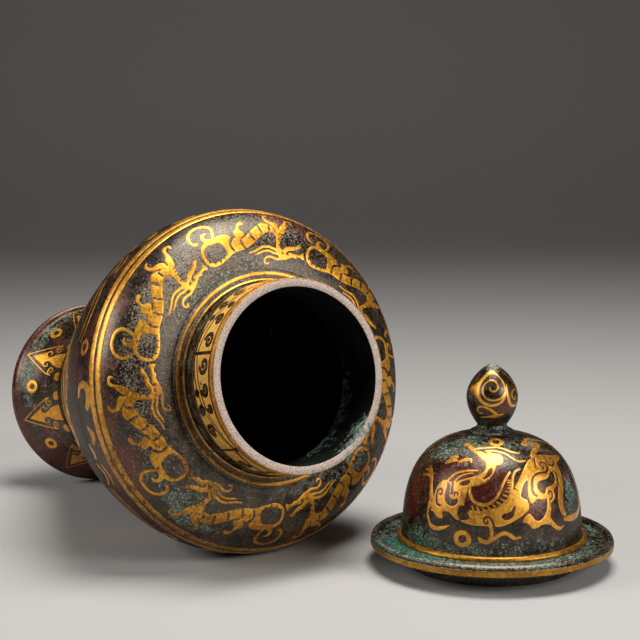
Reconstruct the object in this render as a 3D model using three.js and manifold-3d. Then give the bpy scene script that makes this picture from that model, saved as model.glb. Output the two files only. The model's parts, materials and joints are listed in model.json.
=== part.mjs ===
// A lidded jar of cast bronze with gold inlay, lying on its side with its lid stood beside it.
// Millimetres, +Z up. The mouth of the jar points along +X and the lid stands on its +Y side.
// The jar and the lid are each drawn upright in a group of their own, which is then laid or stood.

import * as THREE from 'three';
import { mergeVertices } from 'three/addons/utils/BufferGeometryUtils.js';
import { TessellateModifier } from 'three/addons/modifiers/TessellateModifier.js';
import Module from 'manifold-3d';

const wasm = await Module();
wasm.setup();

// Jar casting, heights from the plane that the foot stands on
const JAR_HEIGHT = 292.5;
const WALL = 4.5;
const FLOOR = 5;
const FOOT_RADIUS = 63;
const FOOT_RING_WIDTH = 6;
const FOOT_LIP_HEIGHT = 5.5;
const FOOT_LIP_STEP = 1.2;
const FLARE_REACH = 7;
const WAIST_RADIUS = 46.8;
const WAIST_HEIGHT = 46;
const WAIST_UNDER = 18;
const WAIST_OVER = 16;
const BELLY_RADIUS = 102;
const BELLY_HEIGHT = 225;
const BELLY_UNDER = 40;
const BELLY_OVER = 22.4;
const SHOULDER_REACH = 23;
const LEDGE_RADIUS = 63.4;
const LEDGE_RISE = 1.4;
const NECK_HEIGHT = 31.8;
const NECK_RADIUS = 55.7;
const MOUTH_RADIUS = 55;
const MOUTH_WALL = 5;

// Where the inside of each casting follows the outside, as shares of the outer curve's length
const FOOT_HOLLOW = { from: 0.25, to: 0.8 };
const BELLY_INSIDE = { from: 0.05, to: 0.86 };
const SHOULDER_INSIDE = { from: 0, to: 0.85 };
const DOME_INSIDE = { from: 0.1, to: 0.85 };

// Lid casting, heights from the plane that the collar stands on
const COLLAR_CLEARANCE = 1.5;
const COLLAR_HEIGHT = 11;
const COLLAR_WALL = 4;
const FLANGE_RADIUS = 69.4;
const FLANGE_THICKNESS = 4.2;
const FLANGE_BEAD_WIDTH = 4.6;
const FLANGE_BEAD_RISE = 2;
const DOME_RADIUS = 51.4;
const DOME_FOOT_RISE = 2.6;
const DOME_RISE = 59;
const DOME_SIDE_REACH = 42;
const DOME_CROWN_REACH = 36;
const LID_WALL = 4;

// Finial, heights from the crown of the dome
const FINIAL_FOOT_RADIUS = 12.8;
const FINIAL_FOOT_HEIGHT = 1.8;
const FINIAL_STEM_RADIUS = 8.4;
const FINIAL_STEM_HEIGHT = 3.8;
const BUD_RADIUS = 14.6;
const BUD_SWELL = 11.2;
const BUD_WAIST_HEIGHT = 20;
const BUD_CURVE_REACH = 7;
const BUD_TIP_REACH = 7.6;
const BUD_TIP_DROP = 2.6;
const BUD_HEIGHT = 39;
const TENON_RADIUS = 5.5;

// Gold inlay
const CLEARANCE = 0.3;
const GROOVE_DEPTH = 0.9;
const SHEET_THICKNESS = 0.6;
const BAND_FROM_BELLY = 8.2;
const BAND_WIDTH = 3.9;
const BAND_GAP = 1.6;
const LEDGE_RING_RADIUS = 60.9;
const LEDGE_RING_WIDTH = 3.2;
const NECK_RING_WIDTH = 1.9;
const RIM_BAND_FROM_MOUTH = 0.8;
const RIM_BAND_WIDTH = 3.6;
const LINE_HEIGHT = 84;
const LINE_WIDTH = 1.3;
const LINE_PITCH = 3.2;
const DOME_BAND_WIDTH = 2.6;

// Gold figures
const DRAGON_COUNT = 7;
const DRAGON_RISE = 15.6;
const DRAGON_RADIUS = 85;
const DRAGON_ANGLE = 303.5;
const PANEL_COUNT = 6;
const PANEL_HEIGHT = 16.5;
const PANEL_FROM_MOUTH = 5.6;
const PANEL_GAP = 1.2;
const PANEL_TIP = 0.8;
const PANEL_ANGLE = 251;
const TRIANGLE_COUNT = 8;
const TRIANGLE_RADIUS = 58;
const TRIANGLE_ANGLE = 238.8;
const DOT_RADIUS = 4.8;
const DOT_HOLE_RADIUS = 2.1;
const FOOT_DOT_RISE = 29.5;
const BEAST_COUNT = 2;
const BEAST_RADIUS = 48;
const BEAST_ANGLE = -38.7;
const BEAST_DROP = 1.8;
const LID_DOT_RISE = 8.7;
const LID_DOT_ANGLE = -56.5;
const CROWN_DOT_RISE = 71;
const CROWN_DOT_ANGLE = -32;
const CROWN_DOT_RADIUS = 22;

// How the two castings stand: the lid's axis from the middle of the mouth
const LID_AHEAD = 41.7;
const LID_ASIDE = 102.2;

// Facets of a full turn, and the longest edge of a figure before it is bent to its surface
const TURN_FACETS = 28;
const FINIAL_FACETS = 16;
const FIGURE_EDGE = 11;
const STROKE_STEPS = 1;
const CURVE_STEPS = 4;
const FLARE_STEPS = 7;
const BELLY_STEPS = 7;
const SHOULDER_STEPS = 5;
const DOME_STEPS = 9;
const INSIDE_STEPS = 5;
const PANEL_STEPS = 6;
const BUD_STEPS = 5;
const CONTACT_STEPS = 60;
const SPLIT_PASSES = 8;
const MERGE_TOLERANCE = 1e-4;

// Strokes of the dragon from the middle of its tail ring: along, outwards, width
const DRAGON_STROKES = [
  // body, neck, head and lower jaw
  [[1.3, 7.5, 2.5], [8.5, 3.5, 8.5], [14, 1, 10], [21.3, 0, 7], [30.5, 5.5, 7.5], [38.8, 10.8, 6.2],
    [45, 10.8, 6], [47.8, 5.5, 4.5], [46.4, -1, 4], [50, -6, 4.6], [57.2, -5.7, 3], [64.2, -3, 1.8]],
  // tail scroll
  [[-7, 9.1, 1.6], [-7.6, 14.1, 1.8], [-4.2, 19.3, 2], [4.7, 18.8, 2.2], [6.3, 11.3, 2.4], [4.6, 6.6, 2.8]],
  // hind leg
  [[19.7, 2.5, 5], [20.2, 8.6, 4], [26.7, 14.3, 2]],
  // back foreleg
  [[47, 10, 6], [44.2, 15.3, 4.4], [41, 19, 2.4], [43.3, 22.6, 1.6]],
  // front foreleg
  [[48, 8, 6], [51.8, 14, 4], [54.4, 18.2, 2.4], [58.2, 19.1, 1.8]],
  // upper jaw
  [[50, -4.6, 3.6], [55.5, -1.7, 3.4], [63, 2, 1.8]],
  // upper whisker
  [[47.5, -4.2, 2.2], [38.8, -2.5, 1.6], [31.3, -4.7, 1.4], [24.7, -5.5, 1.1]],
  // lower whisker
  [[51, -7.6, 2.2], [44.7, -9.7, 1.7], [38.8, -8.2, 1.5], [34.6, -10.6, 1.4], [36.4, -12.8, 1.2]],
];
const TAIL_RING_RADIUS = 7.7;
const TAIL_RING_WIDTH = 2;

// Strokes of the beast on the lid from the dome's foot: along, up, width
const BEAST_STROKES = [
  // head, folded back on itself
  [[-30.5, 38, 6], [-30.8, 32.5, 7], [-28.5, 26.5, 7.5], [-20, 25.5, 6], [-16.2, 32.5, 5], [-14, 40, 5.5],
    [-8, 42.3, 5]],
  // raised forefoot
  [[-47, 45, 1.6], [-41.5, 42.5, 2], [-37, 35.5, 2], [-31.5, 29, 3]],
  // lower jaw
  [[-33.5, 29.5, 2.6], [-37, 24, 1.8], [-35.5, 15.5, 2.4], [-29.5, 13.4, 2], [-23, 16, 1]],
  // breast and foreleg
  [[-22, 26, 4], [-16.5, 20.3, 2.4], [-5, 19.8, 2.4], [-0.6, 15, 2.2], [-2, 10.4, 2.4], [-6.3, 10.2, 2]],
  // foreleg toes
  [[-1.5, 11.5, 2], [4.5, 14.4, 1.8], [9.5, 11.6, 1.8], [14, 12.5, 1.4]],
  // body from the breast to the haunch
  [[-8.5, 21.5, 3], [2, 23, 6.5], [10, 27, 10], [16, 33.5, 8], [22, 42, 6.5], [29, 49.5, 7.5],
    [38, 52.5, 6.5]],
  // mane line
  [[-12.6, 39.4, 1.4], [-11, 32.5, 1.4], [-4.5, 29.6, 1.3], [4, 34, 1.3], [12, 47.6, 1.2]],
  // neck up to the wing
  [[-9, 42.5, 4.4], [-3.6, 46, 3.2], [-1.2, 53, 3.2], [-0.6, 57, 4]],
  // wing
  [[-29.5, 67.6, 3], [-17, 63.5, 3.5], [-5, 58.5, 6], [4, 56.5, 4]],
  // upper feather
  [[-17, 64, 2.4], [0, 66.4, 1.8], [13, 64, 1.7], [24, 60.2, 1.5]],
  // lower feather
  [[-6, 60.5, 3], [5, 63, 1.7], [15.5, 58.3, 1.6], [26.5, 54.2, 1.5]],
  // haunch band and hind leg
  [[22, 43, 4.5], [25.5, 34.5, 4.5], [32, 33, 4], [33.4, 27, 3.6], [29.5, 21, 4], [23.5, 19.2, 3.6],
    [18.8, 23.5, 2.6]],
  // hind toes
  [[29.5, 20.5, 3], [35, 15.8, 2.2], [42.8, 14.8, 1.4]],
  // inner haunch band
  [[31.5, 34.5, 4], [41, 38, 3.6], [48.5, 46, 4.5]],
  // tail
  [[37, 51, 5], [48.8, 47, 5], [48.5, 38.5, 4.2], [43.2, 27, 3.6], [45, 20, 3], [56, 16.8, 2.6]],
];

// Half outline of a foot triangle from its base on the waist: across, towards the foot rim
const TRIANGLE_OUTLINE = [[7.4, 1], [5.6, 12], [1.8, 18.5], [2.2, 21.5], [5.6, 23.2], [0, 34.5]];

const BRONZE = { color: 0x2f2924, roughness: 0.5, metalness: 1 };
const GOLD = { color: 0xd9a63c, roughness: 0.35, metalness: 1 };

const at = (radius, height) => new THREE.Vector2(radius, height);

// Outer curves of the jar, from the foot up to the ledge under the neck
const ledgeZ = JAR_HEIGHT - NECK_HEIGHT;
const shoulderZ = ledgeZ - LEDGE_RISE;
const flare = new THREE.CubicBezierCurve(
  at(FOOT_RADIUS - FOOT_LIP_STEP, FOOT_LIP_HEIGHT),
  at(FOOT_RADIUS - FOOT_LIP_STEP - FLARE_REACH / 2, FOOT_LIP_HEIGHT + FLARE_REACH),
  at(WAIST_RADIUS, WAIST_HEIGHT - WAIST_UNDER),
  at(WAIST_RADIUS, WAIST_HEIGHT),
);
const lowerBelly = new THREE.CubicBezierCurve(
  at(WAIST_RADIUS, WAIST_HEIGHT),
  at(WAIST_RADIUS, WAIST_HEIGHT + WAIST_OVER),
  at(BELLY_RADIUS, BELLY_HEIGHT - BELLY_UNDER),
  at(BELLY_RADIUS, BELLY_HEIGHT),
);
const shoulder = new THREE.CubicBezierCurve(
  at(BELLY_RADIUS, BELLY_HEIGHT),
  at(BELLY_RADIUS, BELLY_HEIGHT + BELLY_OVER),
  at(LEDGE_RADIUS + SHOULDER_REACH, shoulderZ),
  at(LEDGE_RADIUS, shoulderZ),
);
const neck = new THREE.LineCurve(at(NECK_RADIUS, ledgeZ), at(MOUTH_RADIUS, JAR_HEIGHT));

// Outer curve of the lid's dome, from its foot on the flange up to the crown
const flangeTopZ = COLLAR_HEIGHT + FLANGE_THICKNESS;
const domeFootZ = flangeTopZ + DOME_FOOT_RISE;
const crownZ = domeFootZ + DOME_RISE;
const dome = new THREE.CubicBezierCurve(
  at(DOME_RADIUS, domeFootZ),
  at(DOME_RADIUS, domeFootZ + DOME_SIDE_REACH),
  at(DOME_CROWN_REACH, crownZ),
  at(0, crownZ),
);

// The point at a distance along a curve, moved off it along the outward normal
function offPoint(curve, distance, offset) {
  const share = THREE.MathUtils.clamp(distance / curve.getLength(), 0, 1);
  const tangent = curve.getTangentAt(share);
  return curve.getPointAt(share).add(at(tangent.y, -tangent.x).multiplyScalar(offset));
}

// Evenly spaced points on a curve, moved off it, with both ends
function offPoints(curve, from, to, count, offset = 0) {
  const points = [];
  for (let i = 0; i <= count; i += 1) {
    points.push(offPoint(curve, from + ((to - from) * i) / count, offset));
  }
  return points;
}

// Points inside a wall that follows a share of its outer curve, from the curve's end to its start
function insidePoints(curve, share, count, wall) {
  const length = curve.getLength();
  return offPoints(curve, share.from * length, share.to * length, count, -wall).reverse();
}

// Four corners of a groove cut from one distance along a curve to another
function groove(curve, from, to) {
  return [
    offPoint(curve, from - CLEARANCE, 0),
    offPoint(curve, from - CLEARANCE, -GROOVE_DEPTH),
    offPoint(curve, to + CLEARANCE, -GROOVE_DEPTH),
    offPoint(curve, to + CLEARANCE, 0),
  ];
}

// A section revolved about +Z with a flat facet across +X
function revolve(section, facets = TURN_FACETS) {
  const geometry = new THREE.LatheGeometry(section, facets, Math.PI / 2 + Math.PI / facets);
  return geometry.rotateX(Math.PI / 2);
}

function addMesh(group, name, geometry, finish) {
  const mesh = new THREE.Mesh(geometry, new THREE.MeshStandardMaterial(finish));
  mesh.name = name;
  group.add(mesh);
}

// A ring of gold with a four-sided section
function addRing(group, name, corners) {
  addMesh(group, name, revolve([...corners, corners[0]]), GOLD);
}

// A ring lying in the groove cut between two distances along a curve
function addGrooveRing(group, name, curve, from, to) {
  const low = CLEARANCE - GROOVE_DEPTH;
  addRing(group, name, [
    offPoint(curve, from, low),
    offPoint(curve, from, low + SHEET_THICKNESS),
    offPoint(curve, to, low + SHEET_THICKNESS),
    offPoint(curve, to, low),
  ]);
}

function toManifold(geometry) {
  const bare = geometry.clone();
  bare.deleteAttribute('normal');
  bare.deleteAttribute('uv');
  const merged = mergeVertices(bare, MERGE_TOLERANCE);
  const mesh = new wasm.Mesh({
    numProp: 3,
    vertProperties: new Float32Array(merged.attributes.position.array),
    triVerts: new Uint32Array(merged.index.array),
  });
  return new wasm.Manifold(mesh);
}

function toGeometry(manifold) {
  const mesh = manifold.getMesh();
  const geometry = new THREE.BufferGeometry();
  geometry.setAttribute('position', new THREE.BufferAttribute(mesh.vertProperties, 3));
  geometry.setIndex(new THREE.BufferAttribute(mesh.triVerts, 1));
  return geometry;
}

// Outline of a stroke that follows a smooth line through its knots and swells with their widths
function strokeShape(knots) {
  const line = new THREE.SplineCurve(knots.map(([x, y]) => at(x, y)));
  const spans = knots.length - 1;
  const left = [];
  const right = [];
  for (let i = 0; i <= spans * STROKE_STEPS; i += 1) {
    const along = i / STROKE_STEPS;
    const knot = Math.min(Math.floor(along), spans - 1);
    const half = THREE.MathUtils.lerp(knots[knot][2], knots[knot + 1][2], along - knot) / 2;
    const point = line.getPoint(along / spans);
    const tangent = line.getTangent(along / spans);
    left.push(at(point.x - tangent.y * half, point.y + tangent.x * half));
    right.unshift(at(point.x + tangent.y * half, point.y - tangent.x * half));
  }
  return new THREE.Shape([...left, ...right]);
}

function discShape(x, y, radius) {
  return new THREE.Shape().absarc(x, y, radius, 0, 2 * Math.PI);
}

function ringShape(x, y, radius, holeRadius) {
  const shape = discShape(x, y, radius);
  shape.holes.push(new THREE.Path().absarc(x, y, holeRadius, 0, 2 * Math.PI, true));
  return shape;
}

// One flat sheet joined from overlapping outlines, ready to bend
function sheet(shapes) {
  const settings = { depth: SHEET_THICKNESS, bevelEnabled: false, curveSegments: CURVE_STEPS };
  const pieces = shapes.map((shape) => toManifold(new THREE.ExtrudeGeometry(shape, settings)));
  return split(toGeometry(pieces.reduce((whole, piece) => whole.add(piece))));
}

// Splits the long edges of a flat sheet, so that it can bend
function split(flat) {
  const fine = new TessellateModifier(FIGURE_EDGE, SPLIT_PASSES).modify(flat);
  fine.deleteAttribute('normal');
  fine.deleteAttribute('uv');
  return mergeVertices(fine, MERGE_TOLERANCE);
}

// Bends a flat sheet to a surface of revolution: x runs round the axis and y along the curve
function wrap(flat, curve, { radius, angle, start, sense }) {
  const bent = flat.clone();
  const position = bent.attributes.position;
  for (let i = 0; i < position.count; i += 1) {
    const turn = THREE.MathUtils.degToRad(angle) + (sense * position.getX(i)) / radius;
    const point = offPoint(curve, start + sense * position.getY(i), CLEARANCE + position.getZ(i));
    position.setXYZ(i, point.x * Math.cos(turn), point.x * Math.sin(turn), point.y);
  }
  bent.computeVertexNormals();
  return bent;
}

// The jar's section from the middle of the hollow foot, up the outside and down the inside
function jarSection() {
  const flareLength = flare.getLength();
  const lowerLength = lowerBelly.getLength();
  const shoulderLength = shoulder.getLength();
  const mouthInner = MOUTH_RADIUS - MOUTH_WALL;
  const [band1, band2] = bandSpans();
  const ringInner = LEDGE_RING_RADIUS - LEDGE_RING_WIDTH / 2 - CLEARANCE;
  const ringOuter = LEDGE_RING_RADIUS + LEDGE_RING_WIDTH / 2 + CLEARANCE;
  const neckLength = neck.getLength();
  const rimEnd = neckLength - RIM_BAND_FROM_MOUTH;
  return [
    at(0, WAIST_HEIGHT - FLOOR),
    ...insidePoints(flare, FOOT_HOLLOW, 2, WALL),
    at(FOOT_RADIUS - FOOT_RING_WIDTH, 0),
    at(FOOT_RADIUS, 0),
    at(FOOT_RADIUS, FOOT_LIP_HEIGHT - FOOT_LIP_STEP / 2),
    ...offPoints(flare, 0, flareLength, FLARE_STEPS),
    ...offPoints(lowerBelly, lowerLength / BELLY_STEPS, lowerLength, BELLY_STEPS - 1),
    ...groove(shoulder, band1.from, band1.to),
    ...groove(shoulder, band2.from, band2.to),
    ...offPoints(shoulder, band2.to + BAND_WIDTH, shoulderLength, SHOULDER_STEPS),
    at(LEDGE_RADIUS, ledgeZ),
    at(ringOuter, ledgeZ),
    at(ringOuter, ledgeZ - GROOVE_DEPTH),
    at(ringInner, ledgeZ - GROOVE_DEPTH),
    at(ringInner, ledgeZ),
    at(NECK_RADIUS, ledgeZ),
    ...groove(neck, rimEnd - RIM_BAND_WIDTH, rimEnd),
    at(MOUTH_RADIUS, JAR_HEIGHT),
    at(mouthInner, JAR_HEIGHT),
    at(mouthInner, shoulderZ - WALL),
    ...insidePoints(shoulder, SHOULDER_INSIDE, INSIDE_STEPS, WALL),
    ...insidePoints(lowerBelly, BELLY_INSIDE, INSIDE_STEPS, WALL),
    at(WAIST_RADIUS - 2 * WALL, WAIST_HEIGHT),
    at(0, WAIST_HEIGHT),
  ];
}

// Where the two belly bands start and end, from the widest point towards the neck
function bandSpans() {
  const second = BAND_FROM_BELLY + BAND_WIDTH + BAND_GAP;
  return [
    { from: BAND_FROM_BELLY, to: BAND_FROM_BELLY + BAND_WIDTH },
    { from: second, to: second + BAND_WIDTH },
  ];
}

function dragonSheet() {
  const ring = ringShape(0, 0, TAIL_RING_RADIUS, TAIL_RING_RADIUS - TAIL_RING_WIDTH);
  return sheet([ring, ...DRAGON_STROKES.map(strokeShape)]);
}

function triangleSheet() {
  const half = TRIANGLE_OUTLINE.map(([x, y]) => at(x, y));
  const mirrored = half.slice(0, -1).map((point) => at(-point.x, point.y)).reverse();
  return sheet([new THREE.Shape([...half, ...mirrored])]);
}

function dotSheet() {
  return sheet([ringShape(0, 0, DOT_RADIUS, DOT_HOLE_RADIUS)]);
}

// One half of a neck panel, which is split from corner to corner: a strip that tapers along the panel
function panelSheet(width, upper, mirrored) {
  const length = width - PANEL_GAP;
  const tall = PANEL_HEIGHT - PANEL_GAP;
  const positions = [];
  const faces = [];
  for (let i = 0; i <= PANEL_STEPS; i += 1) {
    const along = (length * i) / PANEL_STEPS - length / 2;
    const high = tall + (PANEL_TIP - tall) * (i / PANEL_STEPS);
    const x = upper === mirrored ? along : -along;
    const edges = upper ? [PANEL_HEIGHT - high, PANEL_HEIGHT] : [0, high];
    edges.forEach((y) => positions.push(x, y, 0, x, y, SHEET_THICKNESS));
  }
  const quad = (a, b, c, d) => faces.push(a, b, c, a, c, d);
  for (let i = 0; i < PANEL_STEPS; i += 1) {
    const [a, b] = [4 * i, 4 * i + 4];
    quad(a + 1, b + 1, b + 3, a + 3);
    quad(a + 2, b + 2, b, a);
    quad(a, b, b + 1, a + 1);
    quad(a + 3, b + 3, b + 2, a + 2);
  }
  const end = 4 * PANEL_STEPS;
  quad(0, 1, 3, 2);
  quad(end + 2, end + 3, end + 1, end);
  const geometry = new THREE.BufferGeometry();
  geometry.setAttribute('position', new THREE.Float32BufferAttribute(positions, 3));
  geometry.setIndex(upper === mirrored ? faces : faces.reverse());
  return geometry;
}

function makeJar() {
  const jar = new THREE.Group();
  addMesh(jar, 'jar_body', revolve(jarSection()), BRONZE);

  const neckLength = neck.getLength();
  const rimEnd = neckLength - RIM_BAND_FROM_MOUTH;
  addGrooveRing(jar, 'rim_band', neck, rimEnd - RIM_BAND_WIDTH, rimEnd);
  bandSpans().forEach((span, i) => addGrooveRing(jar, `belly_band_${i + 1}`, shoulder, span.from, span.to));

  const ringLow = ledgeZ - GROOVE_DEPTH + CLEARANCE;
  const ringInner = LEDGE_RING_RADIUS - LEDGE_RING_WIDTH / 2;
  const ringOuter = LEDGE_RING_RADIUS + LEDGE_RING_WIDTH / 2;
  addRing(jar, 'ledge_ring', [
    at(ringInner, ringLow),
    at(ringOuter, ringLow),
    at(ringOuter, ringLow + SHEET_THICKNESS),
    at(ringInner, ringLow + SHEET_THICKNESS),
  ]);
  const neckRingInner = NECK_RADIUS + CLEARANCE;
  addRing(jar, 'neck_ring', [
    at(neckRingInner, ledgeZ + CLEARANCE),
    at(neckRingInner + NECK_RING_WIDTH, ledgeZ + CLEARANCE),
    at(neckRingInner + NECK_RING_WIDTH / 2, ledgeZ + CLEARANCE + NECK_RING_WIDTH),
    at(neckRingInner, ledgeZ + CLEARANCE + NECK_RING_WIDTH),
  ]);

  // Two thin hoops round the lower belly
  const hoopStart = lowerBelly.getLength() * ((LINE_HEIGHT - WAIST_HEIGHT) / (BELLY_HEIGHT - WAIST_HEIGHT));
  for (let i = 0; i < 2; i += 1) {
    const from = hoopStart + i * LINE_PITCH;
    addRing(jar, `lower_belly_line_${i + 1}`, [
      offPoint(lowerBelly, from, CLEARANCE),
      offPoint(lowerBelly, from, CLEARANCE + SHEET_THICKNESS),
      offPoint(lowerBelly, from + LINE_WIDTH, CLEARANCE + SHEET_THICKNESS),
      offPoint(lowerBelly, from + LINE_WIDTH, CLEARANCE),
    ]);
  }

  const dragon = dragonSheet();
  for (let i = 0; i < DRAGON_COUNT; i += 1) {
    const place = {
      radius: DRAGON_RADIUS,
      angle: DRAGON_ANGLE - (360 / DRAGON_COUNT) * i,
      start: shoulder.getLength() - DRAGON_RISE,
      sense: -1,
    };
    addMesh(jar, `shoulder_dragon_${i + 1}`, wrap(dragon, shoulder, place), GOLD);
  }

  const panelWidth = (2 * Math.PI * MOUTH_RADIUS) / PANEL_COUNT;
  for (let i = 0; i < PANEL_COUNT; i += 1) {
    const place = {
      radius: MOUTH_RADIUS,
      angle: PANEL_ANGLE + (360 / PANEL_COUNT) * (i + 0.5),
      start: neckLength - PANEL_FROM_MOUTH,
      sense: -1,
    };
    const mirrored = i % 2 === 0;
    const lower = panelSheet(panelWidth, false, mirrored);
    const upper = panelSheet(panelWidth, true, mirrored);
    addMesh(jar, `neck_panel_${i + 1}_mouth_side`, wrap(lower, neck, place), GOLD);
    addMesh(jar, `neck_panel_${i + 1}_belly_side`, wrap(upper, neck, place), GOLD);
  }

  const triangle = triangleSheet();
  const dot = dotSheet();
  for (let i = 0; i < TRIANGLE_COUNT; i += 1) {
    const place = {
      radius: TRIANGLE_RADIUS,
      angle: TRIANGLE_ANGLE + (360 / TRIANGLE_COUNT) * i,
      start: flare.getLength(),
      sense: -1,
    };
    addMesh(jar, `foot_triangle_${i + 1}`, wrap(triangle, flare, place), GOLD);
    const between = {
      ...place,
      angle: place.angle + 180 / TRIANGLE_COUNT,
      start: flare.getLength() - FOOT_DOT_RISE,
    };
    addMesh(jar, `foot_dot_${i + 1}`, wrap(dot, flare, between), GOLD);
  }
  return jar;
}

// The lid's section from the hole in the crown: down the inside, round the flange and up the dome
function lidSection() {
  const collarRadius = MOUTH_RADIUS - MOUTH_WALL - COLLAR_CLEARANCE;
  const collarInner = collarRadius - COLLAR_WALL;
  const hole = TENON_RADIUS + CLEARANCE;
  const crownDistance = dome.getLength() - hole;
  const beadInner = FLANGE_RADIUS - FLANGE_BEAD_WIDTH;
  const edgeLow = COLLAR_HEIGHT + CLEARANCE;
  return [
    at(hole, crownZ - LID_WALL),
    ...insidePoints(dome, DOME_INSIDE, INSIDE_STEPS, LID_WALL),
    at(collarInner, COLLAR_HEIGHT),
    at(collarInner, 0),
    at(collarRadius, 0),
    at(collarRadius, COLLAR_HEIGHT),
    at(FLANGE_RADIUS, COLLAR_HEIGHT),
    at(FLANGE_RADIUS, edgeLow),
    at(FLANGE_RADIUS - GROOVE_DEPTH, edgeLow),
    at(FLANGE_RADIUS - GROOVE_DEPTH, flangeTopZ - CLEARANCE),
    at(FLANGE_RADIUS, flangeTopZ - CLEARANCE),
    at(FLANGE_RADIUS, flangeTopZ),
    at(FLANGE_RADIUS - FLANGE_BEAD_WIDTH / 3, flangeTopZ + FLANGE_BEAD_RISE),
    at(beadInner + FLANGE_BEAD_WIDTH / 3, flangeTopZ + FLANGE_BEAD_RISE),
    at(beadInner, flangeTopZ),
    at(DOME_RADIUS, flangeTopZ),
    ...offPoints(dome, 0, crownDistance, DOME_STEPS),
    at(hole, crownZ - LID_WALL),
  ];
}

// The finial: a tenon through the crown, a flared foot, a short stem and a bud with a blunt tip
function finialSection() {
  const low = crownZ + CLEARANCE;
  const stemTop = low + FINIAL_STEM_HEIGHT;
  const waist = low + BUD_WAIST_HEIGHT;
  const swell = new THREE.CubicBezierCurve(
    at(FINIAL_STEM_RADIUS, stemTop),
    at(BUD_SWELL, stemTop + FINIAL_STEM_HEIGHT),
    at(BUD_RADIUS, waist - BUD_CURVE_REACH),
    at(BUD_RADIUS, waist),
  );
  const tip = new THREE.CubicBezierCurve(
    at(BUD_RADIUS, waist),
    at(BUD_RADIUS, waist + BUD_CURVE_REACH),
    at(BUD_TIP_REACH, low + BUD_HEIGHT - BUD_TIP_DROP),
    at(0, low + BUD_HEIGHT),
  );
  return [
    at(0, crownZ - LID_WALL),
    at(TENON_RADIUS, crownZ - LID_WALL),
    at(TENON_RADIUS, low),
    at(FINIAL_FOOT_RADIUS, low),
    at(FINIAL_FOOT_RADIUS, low + FINIAL_FOOT_HEIGHT / 3),
    at((FINIAL_FOOT_RADIUS + 2 * FINIAL_STEM_RADIUS) / 3, low + FINIAL_FOOT_HEIGHT),
    ...swell.getPoints(BUD_STEPS),
    ...tip.getPoints(BUD_STEPS).slice(1),
  ];
}

function makeLid() {
  const lid = new THREE.Group();
  addMesh(lid, 'lid_shell', revolve(lidSection()), BRONZE);
  addMesh(lid, 'lid_finial', revolve(finialSection(), FINIAL_FACETS), BRONZE);

  const edgeInner = FLANGE_RADIUS - GROOVE_DEPTH + CLEARANCE;
  const edgeLow = COLLAR_HEIGHT + 2 * CLEARANCE;
  const edgeTop = flangeTopZ - 2 * CLEARANCE;
  addRing(lid, 'lid_edge_band', [
    at(edgeInner, edgeLow),
    at(edgeInner + SHEET_THICKNESS, edgeLow),
    at(edgeInner + SHEET_THICKNESS, edgeTop),
    at(edgeInner, edgeTop),
  ]);
  const bandInner = DOME_RADIUS + CLEARANCE;
  const bandLow = flangeTopZ + CLEARANCE;
  addRing(lid, 'lid_dome_band', [
    at(bandInner, bandLow),
    at(bandInner + DOME_BAND_WIDTH, bandLow),
    at(bandInner + DOME_BAND_WIDTH / 2, bandLow + DOME_BAND_WIDTH),
    at(bandInner, bandLow + DOME_BAND_WIDTH),
  ]);

  const beast = sheet(BEAST_STROKES.map(strokeShape));
  const dot = dotSheet();
  for (let i = 0; i < BEAST_COUNT; i += 1) {
    const turn = (360 / BEAST_COUNT) * i;
    const place = { radius: BEAST_RADIUS, angle: BEAST_ANGLE + turn, start: -BEAST_DROP, sense: 1 };
    addMesh(lid, `lid_beast_${i + 1}`, wrap(beast, dome, place), GOLD);
    const below = { ...place, angle: LID_DOT_ANGLE + turn, start: LID_DOT_RISE };
    addMesh(lid, `lid_dot_${i + 1}`, wrap(dot, dome, below), GOLD);
    const above = {
      ...place,
      radius: CROWN_DOT_RADIUS,
      angle: CROWN_DOT_ANGLE + turn,
      start: CROWN_DOT_RISE,
    };
    addMesh(lid, `lid_crown_dot_${i + 1}`, wrap(dot, dome, above), GOLD);
  }
  return lid;
}

// Lays the jar on a facet of its belly and of its foot, and stands the lid beside the mouth
function arrange(jar, lid) {
  const flat = Math.cos(Math.PI / TURN_FACETS);
  const slope = (point) => ((point.x - FOOT_RADIUS) * flat) / point.y;
  const slopes = lowerBelly.getPoints(CONTACT_STEPS).map(slope);
  const tilt = Math.atan(Math.max(...slopes));
  jar.rotation.y = Math.PI / 2 - tilt;
  jar.position.z = FOOT_RADIUS * flat * Math.cos(tilt);
  lid.position.set(JAR_HEIGHT * Math.cos(tilt) + LID_AHEAD, LID_ASIDE, 0);

  const object = new THREE.Group().add(jar, lid);
  const middle = new THREE.Box3().setFromObject(object, true).getCenter(new THREE.Vector3());
  object.position.set(-middle.x, -middle.y, 0);
  return object;
}

export default arrange(makeJar(), makeLid());
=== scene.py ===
"""Looks of a lidded bronze jar with gold inlay, laid on its side with its lid stood beside the mouth."""

import json
import logging
import math
from dataclasses import dataclass, replace
from enum import Enum
from typing import Optional, Sequence, Union

import bmesh
import bpy
import numpy as np
from mathutils import Matrix, Vector


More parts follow.
